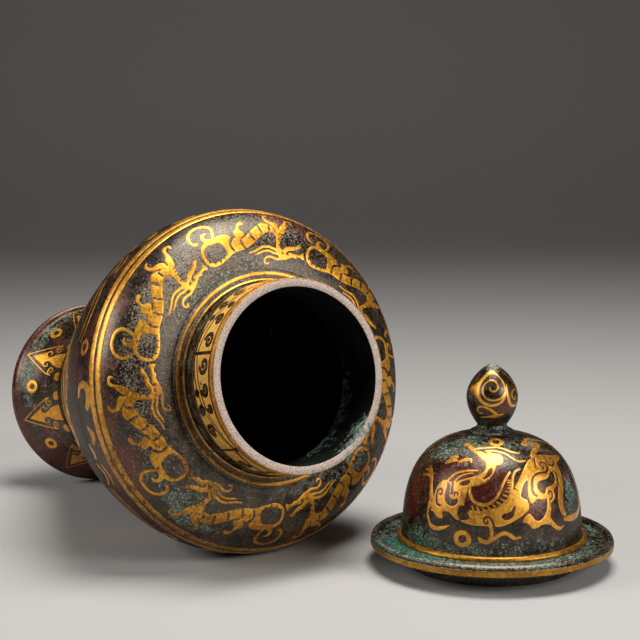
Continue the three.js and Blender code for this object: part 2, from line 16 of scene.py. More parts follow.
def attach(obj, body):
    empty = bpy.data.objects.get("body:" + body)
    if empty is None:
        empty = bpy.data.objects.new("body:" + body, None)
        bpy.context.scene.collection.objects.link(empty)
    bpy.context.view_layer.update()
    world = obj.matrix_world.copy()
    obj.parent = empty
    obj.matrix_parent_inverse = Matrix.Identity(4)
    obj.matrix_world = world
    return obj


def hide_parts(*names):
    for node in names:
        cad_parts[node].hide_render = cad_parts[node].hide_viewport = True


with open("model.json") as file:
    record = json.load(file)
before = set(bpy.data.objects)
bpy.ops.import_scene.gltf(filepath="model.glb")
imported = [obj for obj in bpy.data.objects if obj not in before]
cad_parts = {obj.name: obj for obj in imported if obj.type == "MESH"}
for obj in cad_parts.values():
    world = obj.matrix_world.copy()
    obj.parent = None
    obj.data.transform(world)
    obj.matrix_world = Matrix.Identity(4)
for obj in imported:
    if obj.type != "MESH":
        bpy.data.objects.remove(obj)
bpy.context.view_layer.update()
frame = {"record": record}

MM = 0.001
LOG = logging.getLogger("jar")

Point = tuple[float, float]
Span = tuple[float, float]
Knot = tuple[float, float, float]
Place = tuple[float, float, float]
Color = tuple[float, float, float]
Stroke = tuple[Knot, ...]
Outline = tuple[Point, ...]
Socket = bpy.types.NodeSocket
Value = Union[float, Color, Socket]


class Body(Enum):
    """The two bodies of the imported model."""

    JAR = "jar"
    LID = "lid"


class Slot(Enum):
    """The record's material slots."""

    JAR_BRONZE = "jar_bronze"
    LID_BRONZE = "lid_bronze"
    GOLD_BAND = "gold_band"
    GOLD_FIGURE = "gold_figure"


# Shader building


class Shader:
    """Builds the node tree of one material on a Principled surface."""

    def __init__(self, name: str) -> None:
        """Starts a tree that ends in a Principled surface.

        Args:
            name: the material's name.
        """
        self.material = bpy.data.materials.new(name)
        self.material.use_nodes = True
        self.tree = self.material.node_tree
        self.tree.nodes.clear()
        self.surface = self.node("BsdfPrincipled", {})
        self.node("OutputMaterial", {"Surface": self.surface.outputs["BSDF"]})
        self.place = self.node("TexCoord", {}).outputs["Object"]

    def node(self, kind: str, inputs: dict[Union[int, str], Value], **settings: str) -> bpy.types.Node:
        """Adds a node.

        Args:
            kind: Blender's name for it, after the word ShaderNode.
            inputs: values of its inputs.
            settings: values of its own properties.

        Returns:
            The node.
        """
        node = self.tree.nodes.new(f"ShaderNode{kind}")
        for name, setting in settings.items():
            setattr(node, name, setting)
        for name, value in inputs.items():
            self.put(node.inputs[name], value)
        return node

    def put(self, socket: Socket, value: Value) -> None:
        """Links a socket to an input, or sets a constant on it.

        Args:
            socket: the input.
            value: an output socket, a number or a colour.
        """
        if isinstance(value, bpy.types.NodeSocket):
            self.tree.links.new(value, socket)
        elif isinstance(value, tuple):
            socket.default_value = (*value, 1.0)
        else:
            socket.default_value = value

    def set(self, **values: Value) -> None:
        """Sets inputs of the Principled surface by name, with underscores for spaces."""
        for name, value in values.items():
            self.put(self.surface.inputs[name.replace("_", " ").title().replace("Ior", "IOR")], value)

    def noise(self, scale: float, detail: float = 4.0, rough: float = 0.55, warp: float = 0.0) -> Socket:
        """A noise field in object space.

        Args:
            scale: cells to a metre.
            detail: octaves.
            rough: weight of the finer octaves.
            warp: distortion.

        Returns:
            The field, about 0.25 to 0.75.
        """
        inputs = {"Vector": self.place, "Scale": scale, "Detail": detail, "Roughness": rough,
                  "Distortion": warp}
        return self.node("TexNoise", inputs).outputs["Fac"]

    def amount(self, name: str) -> Socket:
        """The value of one of the mesh's own attributes."""
        return self.node("Attribute", {}, attribute_name=name).outputs["Fac"]

    def facing(self) -> Socket:
        """How far the surface turns away from the ray, from 0 to 1."""
        return self.node("LayerWeight", {"Blend": 0.5}).outputs["Facing"]

    def span(self, value: Socket, given: Span, result: Span = (0.0, 1.0)) -> Socket:
        """Maps a range smoothly to another and clamps it.

        Args:
            value: the field.
            given: where the field starts and ends.
            result: what it becomes there.

        Returns:
            The mapped field.
        """
        inputs = dict(zip(("Value", "From Min", "From Max", "To Min", "To Max"), (value, *given, *result)))
        return self.node("MapRange", inputs, interpolation_type="SMOOTHSTEP").outputs["Result"]

    def math(self, operation: str, first: Value, second: Value) -> Socket:
        """The result of one Math node, by Blender's name for the operation."""
        return self.node("Math", {0: first, 1: second}, operation=operation).outputs[0]

    def weigh(self, *parts: tuple[Socket, float]) -> Socket:
        """The weighted sum of some fields.

        Args:
            parts: each field with its weight.

        Returns:
            The sum.
        """
        total, weight = parts[0]
        total = self.math("MULTIPLY", total, weight)
        for field, weight in parts[1:]:
            total = self.math("ADD", total, self.math("MULTIPLY", field, weight))
        return total

    def mix(self, factor: Value, first: Value, second: Value) -> Socket:
        """Two colours mixed, with the factor as the share of the second."""
        return self.node("Mix", {0: factor, 6: first, 7: second}, data_type="RGBA").outputs[2]

    def bump(self, height: Socket, strength: float, depth: float) -> Socket:
        """Turns a height field into a normal.

        Args:
            height: the field.
            strength: share of the effect.
            depth: height in metres of a step from 0 to 1.

        Returns:
            The normal.
        """
        inputs = {"Height": height, "Strength": strength, "Distance": depth}
        return self.node("Bump", inputs).outputs["Normal"]


# Finishes. A span says between which values of its field a colour comes in.


@dataclass(frozen=True)
class Patina:
    """Cast bronze gone dark, with sandy specks, red oxide, green crust, and pale dust that in places is a
    painted sheen, where its attributes ask.
    """

    name: str
    dark: Color = (0.007, 0.0045, 0.003)
    brown: Color = (0.046, 0.024, 0.011)
    dust: Color = (0.36, 0.28, 0.20)
    red: Color = (0.070, 0.007, 0.005)
    rust: Color = (0.12, 0.034, 0.013)
    green: Color = (0.010, 0.024, 0.018)
    pale: Color = (0.22, 0.33, 0.26)
    teal: Color = (0.035, 0.26, 0.20)
    speck: Color = (0.40, 0.33, 0.22)
    sheen: Color = (1.0, 0.92, 0.80)
    brown_span: Span = (0.42, 0.60)
    red_span: Span = (0.54, 0.66)
    rust_span: Span = (0.48, 0.70)
    crust_span: Span = (0.64, 0.76)
    pale_span: Span = (0.49, 0.62)
    teal_span: Span = (1.15, 1.45)
    dust_span: Span = (0.60, 0.69)
    thick_span: Span = (1.15, 1.40)
    thickness: Span = (0.45, 0.95)
    speck_span: Span = (0.57, 0.66)
    speck_share: float = 0.5
    patch_weight: float = 0.22
    dust_weight: float = 0.14
    roughness: Span = (0.24, 0.40)
    coarser: float = 0.2
    metallic: float = 0.35
    relief: float = 0.5
    depth: float = 0.0004

    def build(self) -> bpy.types.Material:
        """Makes the material.

        Returns:
            The material.
        """
        shader = Shader(self.name)
        broad = shader.noise(26.0, 5.0, 0.6, 0.4)
        middle = shader.noise(95.0, 6.0, 0.65, 0.3)
        fine = shader.noise(420.0, 4.0, 0.7)
        grain = shader.noise(900.0, 3.0, 0.65)
        powder = shader.noise(1400.0, 2.0, 0.5)
        green_amount = shader.amount("green")
        dust_amount = shader.amount("dust")

        mottle = shader.weigh((middle, 0.45), (fine, 0.35), (grain, 0.2))
        color = shader.mix(shader.span(mottle, self.brown_span), self.dark, self.brown)

        red_field = shader.weigh((broad, 0.55), (middle, 0.45), (shader.amount("red"), self.patch_weight))
        oxide = shader.mix(shader.span(fine, self.rust_span), self.red, self.rust)
        color = shader.mix(shader.span(red_field, self.red_span), color, oxide)

        green_field = shader.weigh((middle, 0.5), (fine, 0.5), (green_amount, self.patch_weight))
        crusted = shader.span(green_field, self.crust_span)
        pale = shader.mix(shader.span(green_amount, self.teal_span), self.pale, self.teal)
        crust = shader.mix(shader.span(grain, self.pale_span), self.green, pale)
        color = shader.mix(crusted, color, crust)

        # pale dust; where its attribute is strong it is also a painted sheen, and where the attribute is
        # negative the bare dark shows as painted shade
        dust_field = shader.weigh((grain, 0.6), (fine, 0.2), (broad, 0.2), (dust_amount, self.dust_weight))
        dusted = shader.span(dust_field, self.dust_span)
        thick = shader.span(dust_amount, self.thick_span, self.thickness)
        color = shader.mix(shader.math("MULTIPLY", dusted, thick), color, self.dust)

        speck_field = shader.weigh((powder, 0.75), (middle, 0.25))
        specks = shader.span(speck_field, self.speck_span, (0.0, self.speck_share))
        color = shader.mix(specks, color, self.speck)

        # the bare metal shines least where it is crusted and where it turns away
        coarse = shader.math("MAXIMUM", crusted, dusted)
        edge = shader.facing()
        rough = shader.math("ADD", shader.span(mottle, (0.4, 0.6), self.roughness),
                            shader.math("MULTIPLY", coarse, self.coarser))
        metallic = shader.math("MULTIPLY", shader.span(coarse, (0.0, 1.0), (self.metallic, 0.0)),
                               shader.span(edge, (0.3, 0.8), (1.0, 0.05)))
        shine = shader.span(edge, (0.25, 0.78), (1.0, 0.02))
        relief = shader.weigh((fine, 0.6), (grain, 0.4), (crusted, 0.5), (dusted, 0.25))
        shader.set(base_color=color, roughness=rough, metallic=metallic, specular_ior_level=shine,
                   specular_tint=self.sheen, normal=shader.bump(relief, self.relief, self.depth))
        return shader.material


@dataclass(frozen=True)
class Gold:
    """Hammered gold: bright where rubbed, orange in hollows, dark along its outline, and brown where
    tarnished and where shade is painted on.
    """

    name: str
    bright: Color = (0.96, 0.49, 0.050)
    deep: Color = (0.70, 0.29, 0.030)
    # brown of tarnish, also laid on as painted shade
    brown: Color = (0.21, 0.088, 0.022)
    grime: Color = (0.07, 0.030, 0.011)
    bright_span: Span = (0.42, 0.58)
    brown_span: Span = (0.40, 0.60)
    brown_share: Span = (0.9, 0.5)
    seam_span: Span = (0.0, 0.28)
    seam_share: float = 0.75
    wear: float = 0.56
    wear_reach: float = 0.10
    roughness: Span = (0.40, 0.56)
    metallic: float = 0.95
    coat: float = 0.2
    coat_roughness: float = 0.3
    relief: float = 0.3
    depth: float = 0.0004

    def build(self) -> bpy.types.Material:
        """Makes the material.

        Returns:
            The material.
        """
        shader = Shader(self.name)
        broad = shader.noise(60.0, 4.0, 0.6)
        fine = shader.noise(500.0, 4.0, 0.65)
        tone = shader.weigh((broad, 0.45), (fine, 0.55))
        color = shader.mix(shader.span(tone, self.bright_span), self.deep, self.bright)

        # the brown is tarnish, and on the lower left of the jar it is also painted shade
        tarnish = shader.amount("tarnish")
        tarnish_and_shade_brown = shader.math("MULTIPLY", tarnish, shader.span(tone, self.brown_span, self.brown_share))
        color = shader.mix(tarnish_and_shade_brown, color, self.brown)

        seam = shader.span(shader.amount("inset"), self.seam_span, (self.seam_share, 0.0))
        worn_field = shader.weigh((shader.noise(230.0, 5.0, 0.7), 0.6), (shader.noise(1100.0, 3.0, 0.7), 0.4),
                                  (tarnish, 0.06))
        worn = shader.span(worn_field, (self.wear, self.wear + self.wear_reach))
        color = shader.mix(shader.math("MAXIMUM", seam, worn), color, self.grime)

        shader.set(base_color=color, roughness=shader.span(fine, (0.35, 0.7), self.roughness),
                   metallic=self.metallic, coat_weight=self.coat, coat_roughness=self.coat_roughness,
                   normal=shader.bump(tone, self.relief, self.depth))
        return shader.material


@dataclass(frozen=True)
class WornRim:
    """The flat face of the mouth: pale, grainy metal with green spots."""

    name: str = "worn_rim"
    pale: Color = (0.60, 0.49, 0.42)
    dark: Color = (0.26, 0.20, 0.17)
    green: Color = (0.10, 0.17, 0.14)
    pale_span: Span = (0.38, 0.56)
    green_span: Span = (0.66, 0.78)
    roughness: Span = (0.45, 0.7)
    metallic: float = 0.3
    relief: float = 0.4
    depth: float = 0.0004

    def build(self) -> bpy.types.Material:
        """Makes the material.

        Returns:
            The material.
        """
        shader = Shader(self.name)
        middle = shader.noise(120.0, 5.0, 0.65)
        grain = shader.noise(1300.0, 3.0, 0.7)
        color = shader.mix(shader.span(grain, self.pale_span), self.dark, self.pale)
        green_field = shader.weigh((middle, 1.0), (shader.amount("green"), 0.24))
        color = shader.mix(shader.span(green_field, self.green_span), color, self.green)
        shader.set(base_color=color, roughness=shader.span(grain, (0.3, 0.7), self.roughness),
                   metallic=self.metallic, normal=shader.bump(grain, self.relief, self.depth))
        return shader.material


@dataclass(frozen=True)
class InsidePaintedShade:
    """The inside of a casting, painted near black with a dark green cast as shade, with spots of pale crust.
    """

    name: str = "inside_painted_shade"
    painted_shade_black: Color = (0.0022, 0.0028, 0.0020)
    green: Color = (0.006, 0.011, 0.008)
    crust: Color = (0.34, 0.44, 0.37)
    green_span: Span = (0.4, 0.7)
    crust_span: Span = (0.62, 0.78)
    roughness: Span = (0.65, 0.9)
    shine: float = 0.15
    relief: float = 0.5
    depth: float = 0.0008

    def build(self) -> bpy.types.Material:
        """Makes the material.

        Returns:
            The material.
        """
        shader = Shader(self.name)
        middle = shader.noise(60.0, 6.0, 0.65)
        fine = shader.noise(420.0, 4.0, 0.65)
        # the near black and the dark green are painted shade
        color = shader.mix(shader.span(middle, self.green_span), self.painted_shade_black, self.green)
        crust_field = shader.weigh((middle, 0.4), (fine, 0.6), (shader.amount("green"), 0.24))
        color = shader.mix(shader.span(crust_field, self.crust_span), color, self.crust)
        shader.set(base_color=color, roughness=shader.span(fine, (0.3, 0.7), self.roughness),
                   specular_ior_level=self.shine, normal=shader.bump(fine, self.relief, self.depth))
        return shader.material


@dataclass(frozen=True)
class PaleFloor:
    """The plain pale ground."""

    name: str = "pale_floor"
    color: Color = (0.42, 0.415, 0.41)
    roughness: float = 0.85

    def build(self) -> bpy.types.Material:
        """Makes the material.

        Returns:
            The material.
        """
        shader = Shader(self.name)
        shader.set(base_color=self.color, roughness=self.roughness)
        return shader.material


# Outlines and figures


class Curve:
    """An outline in a turned section, as radius and height in millimetres, measured by length along it."""

    SAMPLES = 120

    def __init__(self, *pieces: Sequence[Point]) -> None:
        """Joins pieces end to end.

        Args:
            pieces: the points of each piece, two for a line and four for a Bezier curve.
        """
        self.pieces = pieces
        runs = [self._run(np.array(piece, float)) for piece in pieces]
        self.path = np.vstack([runs[0]] + [run[1:] for run in runs[1:]])
        steps = np.linalg.norm(np.diff(self.path, axis=0), axis=1)
        self.along = np.concatenate([[0.0], np.cumsum(steps)])
        self.slope = np.gradient(self.path, self.along, axis=0)

    def _run(self, points: np.ndarray) -> np.ndarray:
        """Samples one piece.

        Args:
            points: its two or four points.

        Returns:
            Rows of radius and height at even shares of its parameter.
        """
        share = np.linspace(0.0, 1.0, self.SAMPLES)[:, None]
        rest = 1.0 - share
        if len(points) == 2:
            return points[0] * rest + points[1] * share
        return (points[0] * rest**3 + 3.0 * points[1] * rest**2 * share
                + 3.0 * points[2] * rest * share**2 + points[3] * share**3)

    @property
    def length(self) -> float:
        """Length of the outline."""
        return float(self.along[-1])

    def at(self, distance: np.ndarray, offset: Union[float, np.ndarray] = 0.0) -> np.ndarray:
        """Points at distances along the outline, moved off it to the outer side.

        Args:
            distance: distances from the start.
            offset: how far to move each point.

        Returns:
            Rows of radius and height.
        """
        distance = np.clip(np.asarray(distance, float), 0.0, self.length)
        radius, height, across, up = (np.interp(distance, self.along, column)
                                      for column in (*self.path.T, *self.slope.T))
        size = np.hypot(across, up)
        return np.column_stack((radius + offset * up / size, height - offset * across / size))

    def rise_to(self, height: float) -> float:
        """Distance along a rising outline at which it reaches a height."""
        return float(np.interp(height, self.path[:, 1], self.along))

    def spread(self, count: int, offset: float = 0.0, start: float = 0.0, stop: float = 1.0) -> np.ndarray:
        """Evenly spaced points between two shares of the length.

        Args:
            count: number of points.
            offset: how far to move them off the outline.
            start: first share.
            stop: last share.

        Returns:
            Rows of radius and height.
        """
        return self.at(np.linspace(start * self.length, stop * self.length, count), offset)


def circle(x: float, y: float, radius: float, width: float, sides: int = 16) -> Stroke:
    """A closed round stroke.

    Args:
        x: centre along.
        y: centre across.
        radius: radius of its middle line.
        width: its width.
        sides: knots in a turn.

    Returns:
        Its knots.
    """
    turns = [math.tau * i / sides for i in range(sides + 1)]
    return tuple((x + radius * math.cos(turn), y + radius * math.sin(turn), width) for turn in turns)


def spiral(x: float, y: float, radius: float, turns: float, first: float, width: float) -> Stroke:
    """A stroke that winds in to its centre and grows thinner.

    Args:
        x: centre along.
        y: centre across.
        radius: radius at its outer end.
        turns: number of turns, negative for the other way round.
        first: angle of its outer end in degrees.
        width: width at its outer end.

    Returns:
        Its knots.
    """
    sides, shrink, taper = 12, 0.9, 0.35
    count = max(8, int(abs(turns) * sides))
    knots = []
    for i in range(count + 1):
        share = i / count
        angle = math.radians(first) + math.tau * turns * share
        reach = radius * (1.0 - shrink * share)
        knots.append((x + reach * math.cos(angle), y + reach * math.sin(angle),
                      width * (1.0 - taper * share)))
    return tuple(knots)


def both(stroke: Stroke) -> tuple[Stroke, Stroke]:
    """A stroke and its mirror image on the other side of the middle."""
    return stroke, tuple((-x, y, width) for x, y, width in stroke)


def through(points: np.ndarray, steps: int) -> np.ndarray:
    """Runs smoothly through rows of numbers.

    Args:
        points: the rows, with one more before the first and after the last.
        steps: results for each stretch.

    Returns:
        Rows from the first on, without the last.
    """
    share = np.linspace(0.0, 1.0, steps, endpoint=False)[:, None]
    return np.vstack([0.5 * (2.0 * b + (c - a) * share + (2.0 * a - 5.0 * b + 4.0 * c - d) * share**2
                             + (3.0 * b - a - 3.0 * c + d) * share**3)
                      for a, b, c, d in zip(points, points[1:], points[2:], points[3:])])


def soft(*corners: Point, steps: int = 4) -> Outline:
    """Rounds a closed outline through its corners.

    Args:
        corners: the corners in order.
        steps: points to each side.

    Returns:
        The rounded outline.
    """
    ring = np.array(corners, float)
    return tuple((float(x), float(y)) for x, y in through(np.vstack((ring[-1:], ring, ring[:2])), steps))


def smooth(knots: Stroke, steps: int = 5) -> np.ndarray:
    """Rounds a stroke through its knots.

    Args:
        knots: the knots in order.
        steps: points to each stretch.

    Returns:
        Rows of the rounded stroke, with their widths.
    """
    line = np.array(knots, float)
    padded = np.vstack((2.0 * line[0] - line[1], line, 2.0 * line[-1] - line[-2]))
    return np.vstack((through(padded, steps), line[-1:]))


@dataclass(frozen=True)
class Figure:
    """A flat gold figure in millimetres: strokes and plates, less the holes and lines cut into them."""

    FAR = 1e6

    strokes: tuple[Stroke, ...] = ()
    plates: tuple[Outline, ...] = ()
    holes: tuple[Outline, ...] = ()
    cuts: tuple[Stroke, ...] = ()
    cell: float = 0.5
    rise: float = 0.10
    bevel: float = 0.25
    sunk: float = 0.45

    def _stroke_field(self, strokes: Sequence[Stroke], x: np.ndarray, y: np.ndarray) -> np.ndarray:
        """Distance to the edge of the nearest of some strokes.

        Args:
            strokes: the strokes.
            x: positions along.
            y: positions across.

        Returns:
            The distances, negative inside a stroke.
        """
        field = np.full(x.shape, self.FAR)
        for stroke in strokes:
            line = smooth(stroke)
            for (ax, ay, aw), (bx, by, bw) in zip(line, line[1:]):
                ex, ey = bx - ax, by - ay
                size = max(ex * ex + ey * ey, 1e-9)
                share = np.clip(((x - ax) * ex + (y - ay) * ey) / size, 0.0, 1.0)
                gap = np.hypot(x - ax - ex * share, y - ay - ey * share)
                field = np.minimum(field, gap - (aw + (bw - aw) * share) / 2.0)
        return field

    def _plate_field(self, corners: Outline, x: np.ndarray, y: np.ndarray) -> np.ndarray:
        """Distance to the edge of a plate.

        Args:
            corners: the plate's outline.
            x: positions along.
            y: positions across.

        Returns:
            The distances, negative inside the plate.
        """
        nearest = np.full(x.shape, self.FAR)
        inside = np.zeros(x.shape, bool)
        for (ax, ay), (bx, by) in zip(corners, (*corners[1:], corners[0])):
            ex, ey = bx - ax, by - ay
            share = np.clip(((x - ax) * ex + (y - ay) * ey) / (ex * ex + ey * ey), 0.0, 1.0)
            nearest = np.minimum(nearest, np.hypot(x - ax - ex * share, y - ay - ey * share))
            if ay != by:
                crossed = ((ay > y) != (by > y)) & (x < ax + ex * (y - ay) / ey)
                inside ^= crossed
        return np.where(inside, -nearest, nearest)

    def field(self, x: np.ndarray, y: np.ndarray) -> np.ndarray:
        """Distance to the figure's outline.

        Args:
            x: positions along.
            y: positions across.

        Returns:
            The distances, negative in the gold.
        """
        gold = self._stroke_field(self.strokes, x, y)
        for plate in self.plates:
            gold = np.minimum(gold, self._plate_field(plate, x, y))
        for hole in self.holes:
            gold = np.maximum(gold, -self._plate_field(hole, x, y))
        return np.maximum(gold, -self._stroke_field(self.cuts, x, y))

    def _reach(self) -> tuple[np.ndarray, np.ndarray]:
        """Finds the box of the gold.

        Returns:
            Its lowest and its highest corner, with a margin.
        """
        points = [knot for stroke in self.strokes for knot in stroke]
        points += [(x, y, 0.0) for plate in self.plates for x, y in plate]
        table = np.array(points)
        pad = table[:, 2:] / 2.0 + 2.0 * self.cell
        return (table[:, :2] - pad).min(axis=0), (table[:, :2] + pad).max(axis=0)

    def flat(self, name: str) -> bpy.types.Mesh:
        """Cuts the figure from a fine grid, rounds its edges and closes it.

        Args:
            name: the mesh's name.

        Returns:
            The flat figure, with its top up.
        """
        low, high = self._reach()
        counts = np.ceil((high - low) / self.cell).astype(int)
        bm = bmesh.new()
        bmesh.ops.create_grid(bm, x_segments=int(counts[0]), y_segments=int(counts[1]), size=0.5)
        size = max(vert.co.x for vert in bm.verts) * 2.0
        bmesh.ops.scale(bm, vec=(*((high - low) / size), 1.0), verts=bm.verts)
        bmesh.ops.translate(bm, vec=(*((low + high) / 2.0), 0.0), verts=bm.verts)
        middles = np.array([face.calc_center_median()[:2] for face in bm.faces])
        outside = self.field(middles[:, 0], middles[:, 1]) > 0.0
        bmesh.ops.delete(bm, geom=[face for face, out in zip(bm.faces, outside) if out], context="FACES")
        self._fit_outline(bm)
        top = np.array([vert.co[:2] for vert in bm.verts])
        depth = np.clip(-self.field(top[:, 0], top[:, 1]) / self.bevel, 0.0, 1.0)
        for vert, share in zip(bm.verts, depth):
            vert.co.z = self.rise * (1.0 - (1.0 - share) ** 2)
        bmesh.ops.solidify(bm, geom=bm.faces[:], thickness=self.sunk)
        mesh = close(bm, name)
        points = read_points(mesh)
        write_amount(mesh, "inset", -self.field(points[:, 0], points[:, 1]))
        return mesh

    def _fit_outline(self, bm: bmesh.types.BMesh) -> None:
        """Moves the vertices of the open border onto the outline.

        Args:
            bm: the figure's top, cut from its grid.
        """
        rounds, nudge, least_slope = 3, 0.05, 0.5
        border = [vert for vert in bm.verts if vert.is_boundary]
        for _ in range(rounds):
            x, y = np.array([vert.co[:2] for vert in border]).T
            slope_x = (self.field(x + nudge, y) - self.field(x - nudge, y)) / (2.0 * nudge)
            slope_y = (self.field(x, y + nudge) - self.field(x, y - nudge)) / (2.0 * nudge)
            size = np.maximum(np.hypot(slope_x, slope_y), least_slope)
            step = np.clip(self.field(x, y), -self.cell, self.cell) / size
            for vert, dx, dy in zip(border, step * slope_x / size, step * slope_y / size):
                vert.co.x -= dx
                vert.co.y -= dy


@dataclass(frozen=True)
class Seat:
    """Where a flat figure is bent onto a turned surface."""

    curve: Curve
    radius: float
    angle: float
    start: float
    sense: int = 1

    def bend(self, flat: np.ndarray) -> np.ndarray:
        """Bends flat points to the surface.

        Args:
            flat: rows of along, across and height.

        Returns:
            Rows of points about the casting's own axis.
        """
        turn = math.radians(self.angle) + self.sense * flat[:, 0] / self.radius
        section = self.curve.at(self.start + self.sense * flat[:, 1], flat[:, 2])
        return np.column_stack((section[:, 0] * np.cos(turn), section[:, 0] * np.sin(turn), section[:, 1]))

    def around(self, count: int, way: int = 1) -> list["Seat"]:
        """Copies of the seat at even angles, this one first, with way -1 for the other way round."""
        return [replace(self, angle=self.angle + way * 360.0 / count * i) for i in range(count)]


# Meshes and pieces

SHARP_ANGLE = math.radians(40)
ALL_ROUND = 999.0
MOST_CORROSION = 1.5
BAND_SLOPE = 0.5
BAND_LIP = 0.05
BAND_SUNK = 0.55
BAND_INSET = 0.2


def read_points(mesh: bpy.types.Mesh) -> np.ndarray:
    """Reads vertex positions.

    Args:
        mesh: the mesh.

    Returns:
        The positions as rows.
    """
    table = np.empty(len(mesh.vertices) * 3)
    mesh.vertices.foreach_get("co", table)
    return table.reshape(-1, 3)


def write_points(mesh: bpy.types.Mesh, points: np.ndarray) -> None:
    """Sets the vertex positions of a mesh from rows."""
    mesh.vertices.foreach_set("co", points.astype(np.float32).ravel())
    mesh.update()


def write_amount(mesh: bpy.types.Mesh, name: str, values: np.ndarray) -> None:
    """Stores one number for each vertex of a mesh, as a named attribute."""
    layer = mesh.attributes.new(name, "FLOAT", "POINT")
    layer.data.foreach_set("value", values.astype(np.float32))


def close(bm: bmesh.types.BMesh, name: str) -> bpy.types.Mesh:
    """Turns the normals outwards, makes a mesh and frees what it came from.

    Args:
        bm: the geometry.
        name: the mesh's name.

    Returns:
        The mesh.
    """
    bmesh.ops.recalc_face_normals(bm, faces=bm.faces[:])
    mesh = bpy.data.meshes.new(name)
    bm.to_mesh(mesh)
    bm.free()
    return mesh


def turned(name: str, section: np.ndarray, closed: bool = False, steps: int = 192) -> bpy.types.Mesh:
    """Spins a section about its own axis.

    Args:
        name: the mesh's name.
        section: rows of radius and height.
        closed: whether the last point joins the first.
        steps: facets of a full turn.

    Returns:
        The mesh, in millimetres about +Z.
    """
    bm = bmesh.new()
    ring = [bm.verts.new((radius, 0.0, height)) for radius, height in section]
    edges = [bm.edges.new(pair) for pair in zip(ring, ring[1:])]
    if closed:
        edges.append(bm.edges.new((ring[-1], ring[0])))
    bmesh.ops.spin(bm, geom=ring + edges, cent=(0, 0, 0), axis=(0, 0, 1), angle=math.tau, steps=steps,
                   use_merge=True)
    bmesh.ops.remove_doubles(bm, verts=bm.verts[:], dist=1e-3)
    return close(bm, name)


@dataclass(frozen=True)
class Stand:
    """How a casting stands: its axis leans up from +X by a tilt, from an origin in millimetres."""

    tilt: float
    origin: Place

    def place(self, points: np.ndarray) -> np.ndarray:
        """Moves points from a casting's own frame to the row frame.

        Args:
            points: rows in millimetres.

        Returns:
            Rows in metres, none below the ground.
        """
        x, y, z = points.T
        lean, flat = math.sin(self.tilt), math.cos(self.tilt)
        moved = np.column_stack((x * lean + z * flat, y, z * lean - x * flat)) + np.array(self.origin)
        moved[:, 2] = np.maximum(moved[:, 2], 0.0)
        return moved * MM


@dataclass(frozen=True)
class Patch:
    """A soft patch of corrosion: its angle and height on a turned surface, its spread and its strength."""

    angle: float
    height: float
    across: float
    along: float
    strength: float = 1.0

    def amount(self, angle: np.ndarray, height: np.ndarray) -> np.ndarray:
        """Strength of the patch at points.

        Args:
            angle: angles in degrees.
            height: heights in millimetres.

        Returns:
            The strengths.
        """
        turn = (angle - self.angle + 180.0) % 360.0 - 180.0
        rise = height - self.height
        return self.strength * np.exp(-((turn / self.across) ** 2) - (rise / self.along) ** 2)


